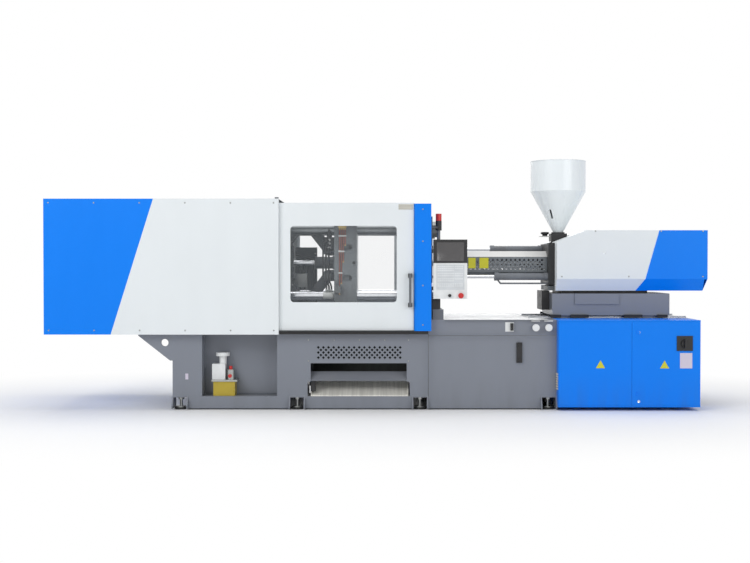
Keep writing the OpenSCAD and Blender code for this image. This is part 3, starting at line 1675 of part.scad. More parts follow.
// Screw with its tip, flights and splined shank
module screw() {
  color(steel) {
    translate([screw_x0, 0, axis_z])
      rotate([0, 90, 0])
        rotate_extrude()
          polygon(concat(
            [[0, 0], [0, flight_x1 - screw_x0 + 40], [screw_r, flight_x1 - screw_x0 + 40],
             [screw_r, flight_x1 - screw_x0 + 4]],
            [for (i = [flights - 1 : -1 : 0], k = [0 : 3])
              [[screw_r - 6, screw_r, screw_r, screw_r - 6][k], 60 + flight_pitch * i + [11, 9, 2, 0][k]]],
            [[screw_r - 6, 40], [screw_r, 36], [screw_r, 30]]));
    bar_along_x(24, [flight_x1 + 40, thrust_x + 40], 0, axis_z);
  }
}

switch_row_z = panel_z0 + 26;
stop_x = panel_x1 - 52;
key_x = stop_x - 91;
start_x = key_x - 106;
stem_r = 8;
button_r = 10;

// Control panel: housing with a bezel, display, keypad, switch strip and hinge knuckles
module control_panel() {
  front = -cover_y;
  color(white)
    difference() {
      block([panel_x0, panel_x1], [front + 2, front + panel_t], [panel_z0, panel_z1]);
      bar_along_y(stem_r + fit, stop_x, [front, front + 20], switch_row_z);
      bar_along_y(button_r + fit, start_x, [front, front + 16], switch_row_z);
    }
  color(black) {
    block([panel_x0, panel_x1], [front, front + 2], [panel_z1 - 191, panel_z1]);
    for (z = lug_z) {
      difference() {
        union() {
          bar_along_z(7, hinge_x, hinge_y, [z + lug_h + seat_gap, z + 2 * lug_h]);
          block([hinge_x, panel_x0], [hinge_y, hinge_y + 7], [z + lug_h + seat_gap, z + 2 * lug_h]);
        }
        bar_along_z(hinge_pin_r + fit, hinge_x, hinge_y, [z + lug_h, z + 2 * lug_h + 1]);
      }
    }
  }
  color(bed_grey)
    block([panel_x0 + 26, panel_x0 + 248], [front - 1, front], [panel_z1 - 176, panel_z1 - 23]);
  color(white)
    block([panel_x0 + 22, panel_x1 - 22], [front, front + 2], [panel_z0 + 70, panel_z1 - 200]);
}

// A mushroom head push button whose stem goes into a face at y
module mushroom(x, y, z) {
  bar_along_y(stem_r, x, [y - 8, y + 10], z);
  bar_along_y(22, x, [y - 19, y - 8], z);
}

module emergency_stop() {
  color(red)
    mushroom(stop_x, 2 - cover_y, switch_row_z);
}

// Key operated switch beside the emergency stop
module key_switch() {
  y0 = 2 - cover_y - seat_gap;
  color(black) {
    bar_along_y(13, key_x, [y0 - 8, y0], switch_row_z);
    block([key_x - 3, key_x + 3], [y0 - 26, y0 - 8], [switch_row_z - 12, switch_row_z + 12]);
  }
}

module start_button() {
  color(white)
    bar_along_y(button_r, start_x, [-3 - cover_y, 10 - cover_y], switch_row_z);
}

module rear_emergency_stop() {
  color(red)
    mirror([0, 1, 0])
      mushroom(rear_stop_x, -cover_y, rear_stop_z);
}

clamp_bed();
product_chute();
injection_bed();
lifting_brackets();
machine_feet();
tank_fittings();
lubrication_unit();
stationary_platen();
tie_bars();
cover_frame();
clamp_cover_front();
clamp_cover_rear();
clamp_cover_top();
gate_columns();
alarm_lamp();
front_cabinet();
front_left_door();
front_right_door();
main_switch();
rear_cabinet();
rear_door();
power_sockets();
switchgear();
carriage_guides();
pump_motor();
rear_platen();
die_height_gears();
clamp_cylinder();
crosshead_guide_rods();
upper_rear_link();
lower_rear_link();
upper_front_link();
lower_front_link();
upper_crosshead_link();
lower_crosshead_link();
crosshead();
moving_platen();
ejector_cylinder();
ejector_plate();
front_gate();
front_gate_window();
rear_gate();
rear_gate_window();
carriage_base();
injection_housing();
barrel();
barrel_guard();
carriage_cylinders();
injection_cylinders();
injection_cover();
hopper();
hopper_lid();
hopper_gate();
screw_drive();
screw();
control_panel();
emergency_stop();
key_switch();
start_button();
rear_emergency_stop();
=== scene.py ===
import bpy
import math
from mathutils import Matrix, Vector


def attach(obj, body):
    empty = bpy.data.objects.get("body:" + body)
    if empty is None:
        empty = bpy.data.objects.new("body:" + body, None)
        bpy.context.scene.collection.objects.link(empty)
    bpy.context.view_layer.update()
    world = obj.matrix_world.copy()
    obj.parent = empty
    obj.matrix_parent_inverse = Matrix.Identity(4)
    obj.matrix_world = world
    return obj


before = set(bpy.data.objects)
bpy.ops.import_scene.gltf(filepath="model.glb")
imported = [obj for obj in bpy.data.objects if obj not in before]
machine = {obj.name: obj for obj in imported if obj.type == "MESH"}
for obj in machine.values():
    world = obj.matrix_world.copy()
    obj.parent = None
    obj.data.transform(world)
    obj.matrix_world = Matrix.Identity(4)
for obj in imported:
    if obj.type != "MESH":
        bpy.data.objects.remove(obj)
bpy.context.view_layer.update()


# The photographer's place: a frontal view of the operator's side from standing eye height,
# far enough back for the whole machine, on a pale floor that runs out of the picture.
def catalogue_view(eye, lens, tilt):
    camera_data = bpy.data.cameras.new("catalogue_camera")
    camera_data.lens = lens
    camera_data.sensor_width = 36
    camera_data.clip_end = 100
    camera = bpy.data.objects.new("catalogue_camera", camera_data)
    camera.location = eye
    camera.rotation_euler = (math.radians(tilt), 0, 0)
    bpy.context.scene.collection.objects.link(camera)
    bpy.context.scene.camera = camera


def softbox(name, place, target, size, watts):
    lamp = bpy.data.lights.new(name, "AREA")
    lamp.shape = "RECTANGLE"
    lamp.size, lamp.size_y = size
    lamp.energy = watts
    lamp_object = bpy.data.objects.new(name, lamp)
    lamp_object.location = place
    lamp_object.rotation_euler = (Vector(target) - Vector(place)).to_track_quat("-Z", "Y").to_euler()
    bpy.context.scene.collection.objects.link(lamp_object)


eye_height = 1.2
catalogue_view((-0.046, -10.0, eye_height), lens=55.3, tilt=89.1)
softbox("window_side_softbox", (-5.0, -7.0, 5.5), (0, 0, 0.9), (5, 4), 285)
softbox("fill_softbox", (6.0, -7.5, 3.5), (0.5, 0, 0.9), (5, 3), 140)
softbox("overhead_softbox", (0, 0.5, 7.0), (0, 0, 0), (8, 5), 225)
softbox("back_softbox", (1.0, 7.5, 4.5), (0, 0, 1.0), (6, 3), 170)


# Pale studio floor of painted concrete, with a backdrop of the same white behind the machine.
# It shows plain white to the lens and to gloss, and keeps the machine's soft shadow.
def looked_at(tree):
    ray = tree.nodes.new("ShaderNodeLightPath")
    seen = ray.outputs["Is Camera Ray"]
    for kind in ("Is Glossy Ray", "Is Transmission Ray"):
        either = tree.nodes.new("ShaderNodeMath")
        either.operation = "MAXIMUM"
        tree.links.new(seen, either.inputs[0])
        tree.links.new(ray.outputs[kind], either.inputs[1])
        seen = either.outputs[0]
    return seen


def studio_floor():
    bpy.ops.mesh.primitive_plane_add(size=60, location=(0, 0, 0))
    floor = bpy.context.object
    floor.name = "studio_floor"
    material = bpy.data.materials.new("pale_floor")
    material.use_nodes = True
    tree = material.node_tree
    wire = tree.links.new
    shader = tree.nodes["Principled BSDF"]
    shader.inputs["Base Color"].default_value = (0.86, 0.86, 0.86, 1)
    shader.inputs["Roughness"].default_value = 0.85
    white = tree.nodes.new("ShaderNodeEmission")
    white.inputs["Strength"].default_value = 1.0
    place = tree.nodes.new("ShaderNodeTexCoord")
    from_middle = tree.nodes.new("ShaderNodeVectorMath")
    from_middle.operation = "MULTIPLY"
    from_middle.inputs[1].default_value = (0.62, 1.0, 1.0)
    distance = tree.nodes.new("ShaderNodeVectorMath")
    distance.operation = "LENGTH"
    wire(place.outputs["Object"], from_middle.inputs[0])
    wire(from_middle.outputs[0], distance.inputs[0])
    away = tree.nodes.new("ShaderNodeMapRange")
    away.interpolation_type = "SMOOTHSTEP"
    away.inputs["From Min"].default_value = 1.6
    away.inputs["From Max"].default_value = 3.4
    wire(distance.outputs["Value"], away.inputs[0])
    share = tree.nodes.new("ShaderNodeMath")
    share.operation = "MULTIPLY"
    wire(away.outputs[0], share.inputs[0])
    wire(looked_at(tree), share.inputs[1])
    mix = tree.nodes.new("ShaderNodeMixShader")
    wire(share.outputs[0], mix.inputs[0])
    wire(shader.outputs[0], mix.inputs[1])
    wire(white.outputs[0], mix.inputs[2])
    wire(mix.outputs[0], tree.nodes["Material Output"].inputs["Surface"])
    floor.data.materials.append(material)


def studio_air():
    world = bpy.data.worlds.new("studio_air")
    bpy.context.scene.world = world
    world.use_nodes = True
    tree = world.node_tree
    wire = tree.links.new
    tree.nodes.clear()
    output = tree.nodes.new("ShaderNodeOutputWorld")
    mix = tree.nodes.new("ShaderNodeMixShader")
    ambient = tree.nodes.new("ShaderNodeBackground")
    ambient.inputs["Color"].default_value = (0.97, 0.98, 1.0, 1)
    ambient.inputs["Strength"].default_value = 0.5
    seen = tree.nodes.new("ShaderNodeBackground")
    seen.inputs["Color"].default_value = (1, 1, 1, 1)
    seen.inputs["Strength"].default_value = 1.0
    wire(looked_at(tree), mix.inputs[0])
    wire(ambient.outputs[0], mix.inputs[1])
    wire(seen.outputs[0], mix.inputs[2])
    wire(mix.outputs[0], output.inputs[0])


studio_floor()
studio_air()
bpy.context.scene.view_settings.view_transform = "Standard"


# The welded steel beds under the clamp and the injection unit, with their chute plates and
# the cover frame: all of them sprayed with the same satin grey machine paint.
def linear(red, green, blue):
    tone = [c / 255 for c in (red, green, blue)]
    return [c / 12.92 if c <= 0.04045 else ((c + 0.055) / 1.055) ** 2.4 for c in tone] + [1.0]


def effect_group(name, inputs, outputs):
    group = bpy.data.node_groups.new(name, "ShaderNodeTree")
    for label, kind, value in inputs:
        socket = group.interface.new_socket(label, in_out="INPUT", socket_type=kind)
        if value is not None:
            socket.default_value = value
    for label, kind in outputs:
        group.interface.new_socket(label, in_out="OUTPUT", socket_type=kind)
    return group, group.nodes.new("NodeGroupInput"), group.nodes.new("NodeGroupOutput")


def calculate(tree, operation, *values):
    step = tree.nodes.new("ShaderNodeMath")
    step.operation = operation
    for i, value in enumerate(values):
        if isinstance(value, (int, float)):
            step.inputs[i].default_value = value
        else:
            tree.links.new(value, step.inputs[i])
    return step.outputs[0]


def cloudy(tree, vector, scale, detail, rough=0.5):
    noise = tree.nodes.new("ShaderNodeTexNoise")
    noise.inputs["Scale"].default_value = scale
    noise.inputs["Detail"].default_value = detail
    noise.inputs["Roughness"].default_value = rough
    tree.links.new(vector, noise.inputs["Vector"])
    return noise.outputs["Fac"]


def blended(tree, factor, first, second):
    mix = tree.nodes.new("ShaderNodeMix")
    mix.data_type = "RGBA"
    for value, socket in ((factor, mix.inputs[0]), (first, mix.inputs[6]), (second, mix.inputs[7])):
        if isinstance(value, (int, float, list, tuple)):
            socket.default_value = value
        else:
            tree.links.new(value, socket)
    return mix.outputs[2]


def ranged(tree, value, low, high, to_low, to_high):
    step = tree.nodes.new("ShaderNodeMapRange")
    for i, number in enumerate((low, high, to_low, to_high)):
        step.inputs[i + 1].default_value = number
    tree.links.new(value, step.inputs[0])
    return step.outputs[0]


def times(tree, first, second):
    return calculate(tree, "MULTIPLY", first, second)


def plus(tree, first, second):
    return calculate(tree, "ADD", first, second)


def minus(tree, first, second):
    return calculate(tree, "SUBTRACT", first, second)


def stretched(tree, vector, scale):
    step = tree.nodes.new("ShaderNodeMapping")
    step.inputs["Scale"].default_value = scale
    tree.links.new(vector, step.inputs["Vector"])
    return step.outputs[0]


def axes_of(tree, vector):
    step = tree.nodes.new("ShaderNodeSeparateXYZ")
    tree.links.new(vector, step.inputs[0])
    return step.outputs


def shaded(tree, colour, value):
    step = tree.nodes.new("ShaderNodeHueSaturation")
    tree.links.new(value, step.inputs["Value"])
    tree.links.new(colour, step.inputs["Color"])
    return step.outputs[0]


place_socket = ("Place", "NodeSocketVector", None)
colour_socket = ("Colour", "NodeSocketColor", None)
film_outputs = [("Colour", "NodeSocketColor"), ("Roughness", "NodeSocketFloat"),
                ("Height", "NodeSocketFloat")]


def paint_film_group():
    group, given, made = effect_group(
        "paint_film",
        [place_socket, colour_socket, ("Tone", "NodeSocketFloat", 0.05), ("Dust", "NodeSocketFloat", 0.2),
         ("Gloss", "NodeSocketFloat", 0.35)], film_outputs)
    wire = group.links.new
    place = given.outputs["Place"]
    broad = cloudy(group, place, 1.6, 4)
    streak = cloudy(group, stretched(group, place, (9, 9, 1.2)), 1.0, 5)
    uneven = plus(group, times(group, broad, 0.6), times(group, streak, 0.4))
    swing = times(group, minus(group, uneven, 0.5), given.outputs["Tone"])
    shade = shaded(group, given.outputs["Colour"], plus(group, 1.0, times(group, swing, 3.0)))
    surface = group.nodes.new("ShaderNodeNewGeometry")
    level = ranged(group, axes_of(group, surface.outputs["Normal"])["Z"], 0.5, 0.95, 0, 1)
    settled = times(group, times(group, level, ranged(group, uneven, 0.35, 0.65, 0.3, 1)),
                    given.outputs["Dust"])
    low = ranged(group, axes_of(group, place)["Z"], 0.02, 0.32, 1, 0)
    grime = times(group, times(group, low, ranged(group, streak, 0.4, 0.65, 0, 1)), 0.16)
    dusty = blended(group, settled, shade, linear(176, 172, 164))
    soiled = blended(group, grime, dusty, linear(74, 71, 66))
    wire(soiled, made.inputs["Colour"])
    sheen = plus(group, given.outputs["Gloss"], times(group, minus(group, streak, 0.5), 0.22))
    wire(plus(group, sheen, times(group, settled, 0.5)), made.inputs["Roughness"])
    peel = cloudy(group, place, 420, 2)
    ripple = cloudy(group, place, 14, 2)
    wire(plus(group, times(group, peel, 0.35), times(group, ripple, 1.0)), made.inputs["Height"])
    return group


paint_film = paint_film_group()


def coated_surface(name, effect, values, bump, metallic=0.0, coat=0.0, gleam=0.5):
    material = bpy.data.materials.new(name)
    material.use_nodes = True
    tree = material.node_tree
    wire = tree.links.new
    shader = tree.nodes["Principled BSDF"]
    shader.inputs["Metallic"].default_value = metallic
    shader.inputs["Specular IOR Level"].default_value = gleam
    shader.inputs["Coat Weight"].default_value = coat
    shader.inputs["Coat Roughness"].default_value = 0.12
    place = tree.nodes.new("ShaderNodeTexCoord")
    film = tree.nodes.new("ShaderNodeGroup")
    film.node_tree = effect
    wire(place.outputs["Object"], film.inputs["Place"])
    for label, value in values.items():
        film.inputs[label].default_value = value
    wire(film.outputs["Colour"], shader.inputs["Base Color"])
    wire(film.outputs["Roughness"], shader.inputs["Roughness"])
    relief = tree.nodes.new("ShaderNodeBump")
    relief.inputs["Distance"].default_value = bump
    relief.inputs["Strength"].default_value = 0.5
    wire(film.outputs["Height"], relief.inputs["Height"])
    wire(relief.outputs["Normal"], shader.inputs["Normal"])
    return material


def machine_paint(name, colour, tone=0.05, dust=0.2, gloss=0.36, coat=0.25, gleam=0.5):
    return coated_surface(name, paint_film, {"Colour": colour, "Tone": tone, "Dust": dust, "Gloss": gloss},
                          0.0008, coat=coat, gleam=gleam)


def dress(name, finish, *zones):
    mesh = machine[name].data
    mesh.materials.clear()
    mesh.materials.append(finish)
    for face in mesh.polygons:
        face.material_index = 0
    for zone_finish, low, high in zones:
        if zone_finish.name not in mesh.materials:
            mesh.materials.append(zone_finish)
        index = mesh.materials.find(zone_finish.name)
        for face in mesh.polygons:
            if all(a <= c <= b for a, c, b in zip(low, face.center, high)):
                face.material_index = index


bed_grey = machine_paint("bed_grey_paint", linear(122, 127, 137))
frame_grey = machine_paint("cover_frame_paint", linear(96, 100, 106))
dress("clamp_bed", bed_grey)
dress("injection_bed", bed_grey)
dress("lifting_brackets", bed_grey)
dress("cover_frame", frame_grey)


# Cast iron platens, toggle links and the housing of the injection unit: sand cast, primed
# and painted grey, with the two mould faces milled and left bare.
def cast_skin_group():
    group, given, made = effect_group(
        "cast_skin", [place_socket, colour_socket, ("Gloss", "NodeSocketFloat", 0.55)], film_outputs)
    wire = group.links.new
    place = given.outputs["Place"]
    sand = cloudy(group, place, 260, 3, 0.65)
    broad = cloudy(group, place, 5, 4)
    oil = ranged(group, cloudy(group, stretched(group, place, (6, 6, 1.5)), 1, 4), 0.5, 0.72, 0, 0.55)
    shade = shaded(group, given.outputs["Colour"], ranged(group, broad, 0.3, 0.7, 0.86, 1.12))
    wire(blended(group, oil, shade, linear(58, 55, 50)), made.inputs["Colour"])
    wire(minus(group, given.outputs["Gloss"], times(group, oil, 0.35)), made.inputs["Roughness"])
    wire(plus(group, sand, times(group, broad, 0.5)), made.inputs["Height"])
    return group


cast_skin = cast_skin_group()


def casting(name, colour, gloss=0.55):
    return coated_surface(name, cast_skin, {"Colour": colour, "Gloss": gloss}, 0.0012)


def tool_marks_group():
    group, given, made = effect_group(
        "tool_marks",
        [place_socket, colour_socket, ("Gloss", "NodeSocketFloat", 0.3), ("Marks", "NodeSocketVector", None)],
        film_outputs)
    wire = group.links.new
    stretch = group.nodes.new("ShaderNodeVectorMath")
    stretch.operation = "MULTIPLY"
    wire(given.outputs["Place"], stretch.inputs[0])
    wire(given.outputs["Marks"], stretch.inputs[1])
    marks = cloudy(group, stretch.outputs[0], 1, 3, 0.6)
    film = cloudy(group, given.outputs["Place"], 11, 3)
    wire(shaded(group, given.outputs["Colour"], ranged(group, marks, 0.3, 0.7, 0.88, 1.08)),
         made.inputs["Colour"])
    wire(plus(group, given.outputs["Gloss"], ranged(group, film, 0.35, 0.65, -0.05, 0.1)),
         made.inputs["Roughness"])
    wire(marks, made.inputs["Height"])
    return group


tool_marks = tool_marks_group()


def bare_metal(name, colour, gloss, marks, bump=0.0003):
    return coated_surface(name, tool_marks, {"Colour": colour, "Gloss": gloss, "Marks": marks}, bump,
                          metallic=1.0)


platen_cast = casting("platen_casting", linear(104, 109, 112))
link_cast = casting("link_casting", linear(66, 69, 72))
black_cast = casting("black_casting", linear(34, 35, 37))
mould_face = bare_metal("milled_mould_face", linear(176, 178, 180), 0.34, (2, 160, 8))
dress("stationary_platen", platen_cast, (mould_face, (0.2435, -1, 0), (0.2445, 1, 3)))
dress("moving_platen", platen_cast, (mould_face, (-0.1975, -1, 0), (-0.1965, 1, 3)))
dress("rear_platen", platen_cast)
dress("screw_drive", platen_cast)
dress("injection_housing", platen_cast, (black_cast, (1.40, -0.3, 1.0), (1.5041, 0.3, 1.4)))
for toggle_piece in ("upper_rear_link", "lower_rear_link", "upper_front_link", "lower_front_link",
                     "upper_crosshead_link", "lower_crosshead_link", "crosshead"):
    dress(toggle_piece, link_cast)


# Ground, turned and chromed steel: tie bars, rods, guide rails, gears, the barrel and the screw,
# with fine tool marks round or along each piece and a thin film of oil.
# A darker, duller copy of the chrome for the upper tie bars: painted shade and painted dark reflection.
shaded_upper_bar = bare_metal("shaded_upper_bar", linear(128, 132, 134), 0.34, (260, 12, 12), 0.0001)
turned_steel = bare_metal("turned_steel", linear(190, 192, 196), 0.3, (400, 30, 30))
ground_steel = bare_metal("ground_steel", linear(196, 198, 202), 0.24, (8, 240, 240))
hard_chrome = bare_metal("hard_chrome", linear(226, 228, 232), 0.12, (260, 12, 12), 0.0001)
# Tie bars above z 1.3 take the darker copy: painted shade and painted dark reflection.
dress("tie_bars", hard_chrome, (shaded_upper_bar, (-3, -1, 1.3), (1, 1, 1.7)))
dress("crosshead_guide_rods", hard_chrome)
dress("carriage_guides", ground_steel, (hard_chrome, (0.4, -0.3, 0.9), (1.3, 0.3, 1.45)))
dress("ejector_plate", ground_steel)
dress("screw", ground_steel)
dress("die_height_gears", turned_steel)
dress("barrel", turned_steel)


# Hydraulic cylinders of the clamp, the ejector, the injection and the nozzle's seat: steel tubes
# between cast heads, painted grey and bolted to the piece that they push from.
cylinder_cast = casting("cylinder_casting", linear(92, 96, 100))
dress("clamp_cylinder", cylinder_cast)
dress("ejector_cylinder", cylinder_cast)
dress("injection_cylinders", casting("injection_cylinder_paint", linear(92, 96, 100)))
dress("carriage_cylinders", casting("seat_cylinder_paint", linear(108, 112, 118)))


# Folded sheet covers over the clamp, sprayed white, with a blue field that starts at a
# slanting edge and runs round the machine's left end.
def slanted_edge_group():
    group, given, made = effect_group(
        "slanted_edge",
        [place_socket, ("Upper X", "NodeSocketFloat", 0.0), ("Upper Z", "NodeSocketFloat", 1.0),
         ("Lower X", "NodeSocketFloat", 0.0), ("Lower Z", "NodeSocketFloat", 0.0)],
        [("Right", "NodeSocketFloat")])
    at = axes_of(group, given.outputs["Place"])
    run = minus(group, given.outputs["Upper X"], given.outputs["Lower X"])
    rise = minus(group, given.outputs["Upper Z"], given.outputs["Lower Z"])
    up = minus(group, at["Z"], given.outputs["Lower Z"])
    edge = plus(group, given.outputs["Lower X"],
                times(group, up, calculate(group, "DIVIDE", run, rise)))
    group.links.new(calculate(group, "GREATER_THAN", at["X"], edge), made.inputs["Right"])
    return group


slanted_edge = slanted_edge_group()
cover_white = linear(226, 231, 233)
cover_blue = linear(0, 126, 240)


def two_tone_paint(name, left, right, edges, split_z=None):
    material = machine_paint(name, left, tone=0.03, dust=0.08, coat=0.0, gleam=0.22)
    tree = material.node_tree
    film = next(n for n in tree.nodes if n.type == "GROUP")
    place = next(n for n in tree.nodes if n.type == "TEX_COORD")
    masks = []
    for upper_x, upper_z, lower_x, lower_z in edges:
        edge = tree.nodes.new("ShaderNodeGroup")
        edge.node_tree = slanted_edge
        tree.links.new(place.outputs["Object"], edge.inputs["Place"])
        for label, value in (("Upper X", upper_x), ("Upper Z", upper_z), ("Lower X", lower_x),
                             ("Lower Z", lower_z)):
            edge.inputs[label].default_value = value
        masks.append(edge.outputs["Right"])
    mask = masks[0]
    if split_z is not None:
        high = calculate(tree, "GREATER_THAN", axes_of(tree, place.outputs["Object"])["Z"], split_z)
        mask = plus(tree, times(tree, high, masks[0]), times(tree, minus(tree, 1.0, high), masks[1]))
    tree.links.new(blended(tree, mask, left, right), film.inputs["Colour"])
    return material


clamp_two_tone = two_tone_paint("clamp_cover_paint", cover_blue, cover_white,
                                [(-1.848, 1.726, -2.196, 0.621)])
for cover in ("clamp_cover_front", "clamp_cover_rear"):
    dress(cover, clamp_two_tone)
dress("clamp_cover_top", clamp_two_tone, (frame_grey, (-0.87, -1, 1.7262), (-0.8, 1, 1.76)))


# Sliding gates of white sheet with a clear pane and a grey bar handle on black ends,
# hung between the rails of the cover frame.
gate_white = machine_paint("gate_paint", cover_white, tone=0.03, dust=0.1)


def grain_group():
    group, given, made = effect_group(
        "moulded_grain", [place_socket, colour_socket, ("Gloss", "NodeSocketFloat", 0.5)], film_outputs)
    wire = group.links.new
    place = given.outputs["Place"]
    cells = group.nodes.new("ShaderNodeTexVoronoi")
    cells.inputs["Scale"].default_value = 700
    wire(place, cells.inputs["Vector"])
    smear = cloudy(group, place, 18, 3)
    wire(shaded(group, given.outputs["Colour"], ranged(group, smear, 0.35, 0.65, 0.96, 1.04)),
         made.inputs["Colour"])
    wire(plus(group, given.outputs["Gloss"], ranged(group, smear, 0.35, 0.65, -0.08, 0.08)),
         made.inputs["Roughness"])
    wire(cells.outputs["Distance"], made.inputs["Height"])
    return group


moulded_grain = grain_group()


def plastic(name, colour, gloss=0.5, coat=0.0):
    return coated_surface(name, moulded_grain, {"Colour": colour, "Gloss": gloss}, 0.0003, coat=coat)


black_plastic = plastic("black_moulding", linear(26, 26, 28), 0.45)
gate_pane = plastic("gate_pane", linear(214, 222, 228), 0.06)
gate_pane.node_tree.nodes["Principled BSDF"].inputs["Alpha"].default_value = 0.05
for side, y0, y1 in (("front", -0.67, -0.6052), ("rear", 0.6052, 0.67)):
    dress(side + "_gate", gate_white, (black_plastic, (0.2, y0, 0.84), (0.27, y1, 1.12)),
          (frame_grey, (0.2285, -0.68, 0.84), (0.2515, -0.6425, 1.12)),
          (frame_grey, (0.2285, 0.6425, 0.84), (0.2515, 0.68, 1.12)))
    dress(side + "_gate_window", gate_pane)


# Blue columns and cabinets of folded sheet steel: doors on pin hinges, key locks, a rotary
# main switch and pressed ventilation slots.
blue_paint = machine_paint("blue_paint", cover_blue, tone=0.03, dust=0.08, gloss=0.34, coat=0.0, gleam=0.22)
zinc_steel = bare_metal("zinc_plated_steel", linear(172, 174, 172), 0.38, (90, 90, 90))
cream_paint = machine_paint("vent_cream_paint", linear(222, 212, 186), gloss=0.4)
red_plastic = plastic("signal_red_moulding", linear(196, 28, 26), 0.32, 0.3)
white_plastic = plastic("white_moulding", linear(226, 228, 228), 0.4)
dress("gate_columns", blue_paint, (black_plastic, (0.4125, -0.66, 0.9), (0.43, -0.6, 1.4)))
dress("front_left_door", blue_paint)
dress("rear_cabinet", blue_paint)
dress("front_cabinet", blue_paint, (cream_paint, (1.43, -0.64, 0.1), (1.4449, -0.5, 0.4)))
dress("front_right_door", blue_paint, (black_plastic, (2.40, -0.67, 0.48), (2.54, -0.6502, 0.62)))
dress("main_switch", black_plastic)
dress("rear_door", blue_paint, (cream_paint, (1.7, 0.6902, 0.1), (2.6, 0.7, 0.6)))
dress("power_sockets", white_plastic, (red_plastic, (2.6342, 0.2, 0.4), (2.67, 0.7, 0.56)))
dress("alarm_lamp", frame_grey, (black_plastic, (0.42, -0.6, 0.8235), (0.5, -0.4, 0.911)),
      (black_plastic, (0.44, -0.6, 1.4695), (0.51, -0.4, 1.549)),
      (red_plastic, (0.44, -0.6, 1.5492), (0.51, -0.4, 1.62)))
dress("switchgear", zinc_steel, (white_plastic, (1.5, -0.36, 0.535), (2.0, -0.2905, 0.635)),
      (black_plastic, (1.5, -0.39, 0.335), (2.0, -0.2905, 0.445)))


# Levelling feet of zinc plated steel on rubber pads, the oil tank's moulded gauge and fillers,
# the lubrication pump over its yellow oil bottle, and the cast pump motor between the cabinets.
rubber_black = plastic("foot_rubber", linear(32, 32, 34), 0.7)
dress("machine_feet", zinc_steel, (rubber_black, (-3, -1, -0.01), (3, 1, 0.0165)))
dress("tank_fittings", white_plastic, (black_plastic, (1.10, -0.59, 0.38), (1.17, -0.5602, 0.56)),
      (black_plastic, (1.06, -0.59, 0.648), (1.088, -0.5642, 0.712)))
yellow_plastic = plastic("oil_bottle", linear(178, 156, 48), 0.35)
dress("lubrication_unit", white_plastic, (yellow_plastic, (-1.4, -0.56, 0.11), (-1.15, -0.38, 0.2279)),
      (zinc_steel, (-1.4, -0.56, 0.2279), (-1.15, -0.38, 0.2421)),
      (zinc_steel, (-1.28, -0.5, 0.2421), (-1.2, -0.41, 0.3221)),
      (red_plastic, (-1.28, -0.54, 0.255), (-1.2, -0.4921, 0.29)),
      (red_plastic, (-1.28, -0.5, 0.3221), (-1.2, -0.41, 0.352)))
dress("pump_motor", casting("motor_casting", linear(70, 74, 80)))


# The plasticising unit: heated barrel under a perforated guard, feed hopper of spun sheet
# with a dark sight slot, its shutter, and the two-tone cover over the drive on its carriage.
guard_paint = machine_paint("barrel_guard_paint", linear(102, 108, 113), tone=0.05, dust=0.3)
guard_crown = machine_paint("guard_crown_paint", linear(206, 206, 204), tone=0.05, dust=0.2)
hopper_white = machine_paint("hopper_paint", linear(235, 241, 243), tone=0.02, dust=0.1, gloss=0.28)
drive_two_tone = two_tone_paint("drive_cover_paint", cover_white, cover_blue,
                                [(2.343, 1.506, 2.219, 1.070), (2.219, 1.070, 2.148, 0.970)], 1.070)
# The near-black band along the top of the carriage base, under the drive's cover, is painted shadow of the
# gap there.
dress("carriage_base", bed_grey, (black_plastic, (1.379, -0.141, 0.80), (1.4479, 0.141, 0.97)),
      (black_plastic, (1.5, -0.2401, 0.9462), (2.3, 0.2401, 0.98)))
dress("barrel_guard", guard_paint, (guard_crown, (0.6, -0.16, 1.2565), (1.43, 0.16, 1.31)))
dress("injection_cover", drive_two_tone)
dress("hopper", hopper_white, (black_plastic, (1.46, -0.08, 1.38), (1.62, 0.08, 1.4699)))
dress("hopper_lid", hopper_white)
dress("hopper_gate", black_plastic, (zinc_steel, (1.38, -0.05, 1.42), (1.60, 0.05, 1.4359)))


# The swinging control panel: pale moulded housing with a dark upper face, and below it the
# mushroom stop, key switch and start button, each a moulding that moves by itself.
dress("control_panel", white_plastic, (black_plastic, (0.4, -0.65, 1.2), (0.71, -0.6375, 1.395)))
for control, moulding in (("emergency_stop", red_plastic), ("rear_emergency_stop", red_plastic),
                          ("key_switch", black_plastic), ("start_button", white_plastic)):
    dress(control, moulding)


# The panel's touch screen in its dark bezel and the membrane keypad below it: a glass sheet
# with a ground rim, and rows of blank domed keys moulded into a pale sheet.
def only(piece):
    bpy.ops.object.select_all(action="DESELECT")
    piece.select_set(True)
    bpy.context.view_layer.objects.active = piece


def placed(name):
    piece = bpy.context.object
    piece.name = name
    bpy.ops.object.transform_apply(location=True, rotation=True, scale=True)
    return piece


def sheet_block(name, low, high):
    bpy.ops.object.select_all(action="DESELECT")
    bpy.ops.mesh.primitive_cube_add(size=1, location=[(a + b) / 2 for a, b in zip(low, high)])
    bpy.context.object.scale = [b - a for a, b in zip(low, high)]
    return placed(name)


def facing(x, y, z):
    return lambda face: face.normal.dot((x, y, z)) > 0.9


def pick_faces(piece, wanted):
    only(piece)
    for part in (piece.data.vertices, piece.data.edges, piece.data.polygons):
        part.foreach_set("select", [False] * len(part))
    for face in piece.data.polygons:
        face.select = wanted(face)
    bpy.ops.object.mode_set(mode="EDIT")
    bpy.ops.mesh.select_mode(type="FACE")


def pressed(piece, wanted, *steps):
    pick_faces(piece, wanted)
    for thickness, depth in steps:
        bpy.ops.mesh.inset(thickness=thickness, depth=depth)
    bpy.ops.object.mode_set(mode="OBJECT")
    return piece


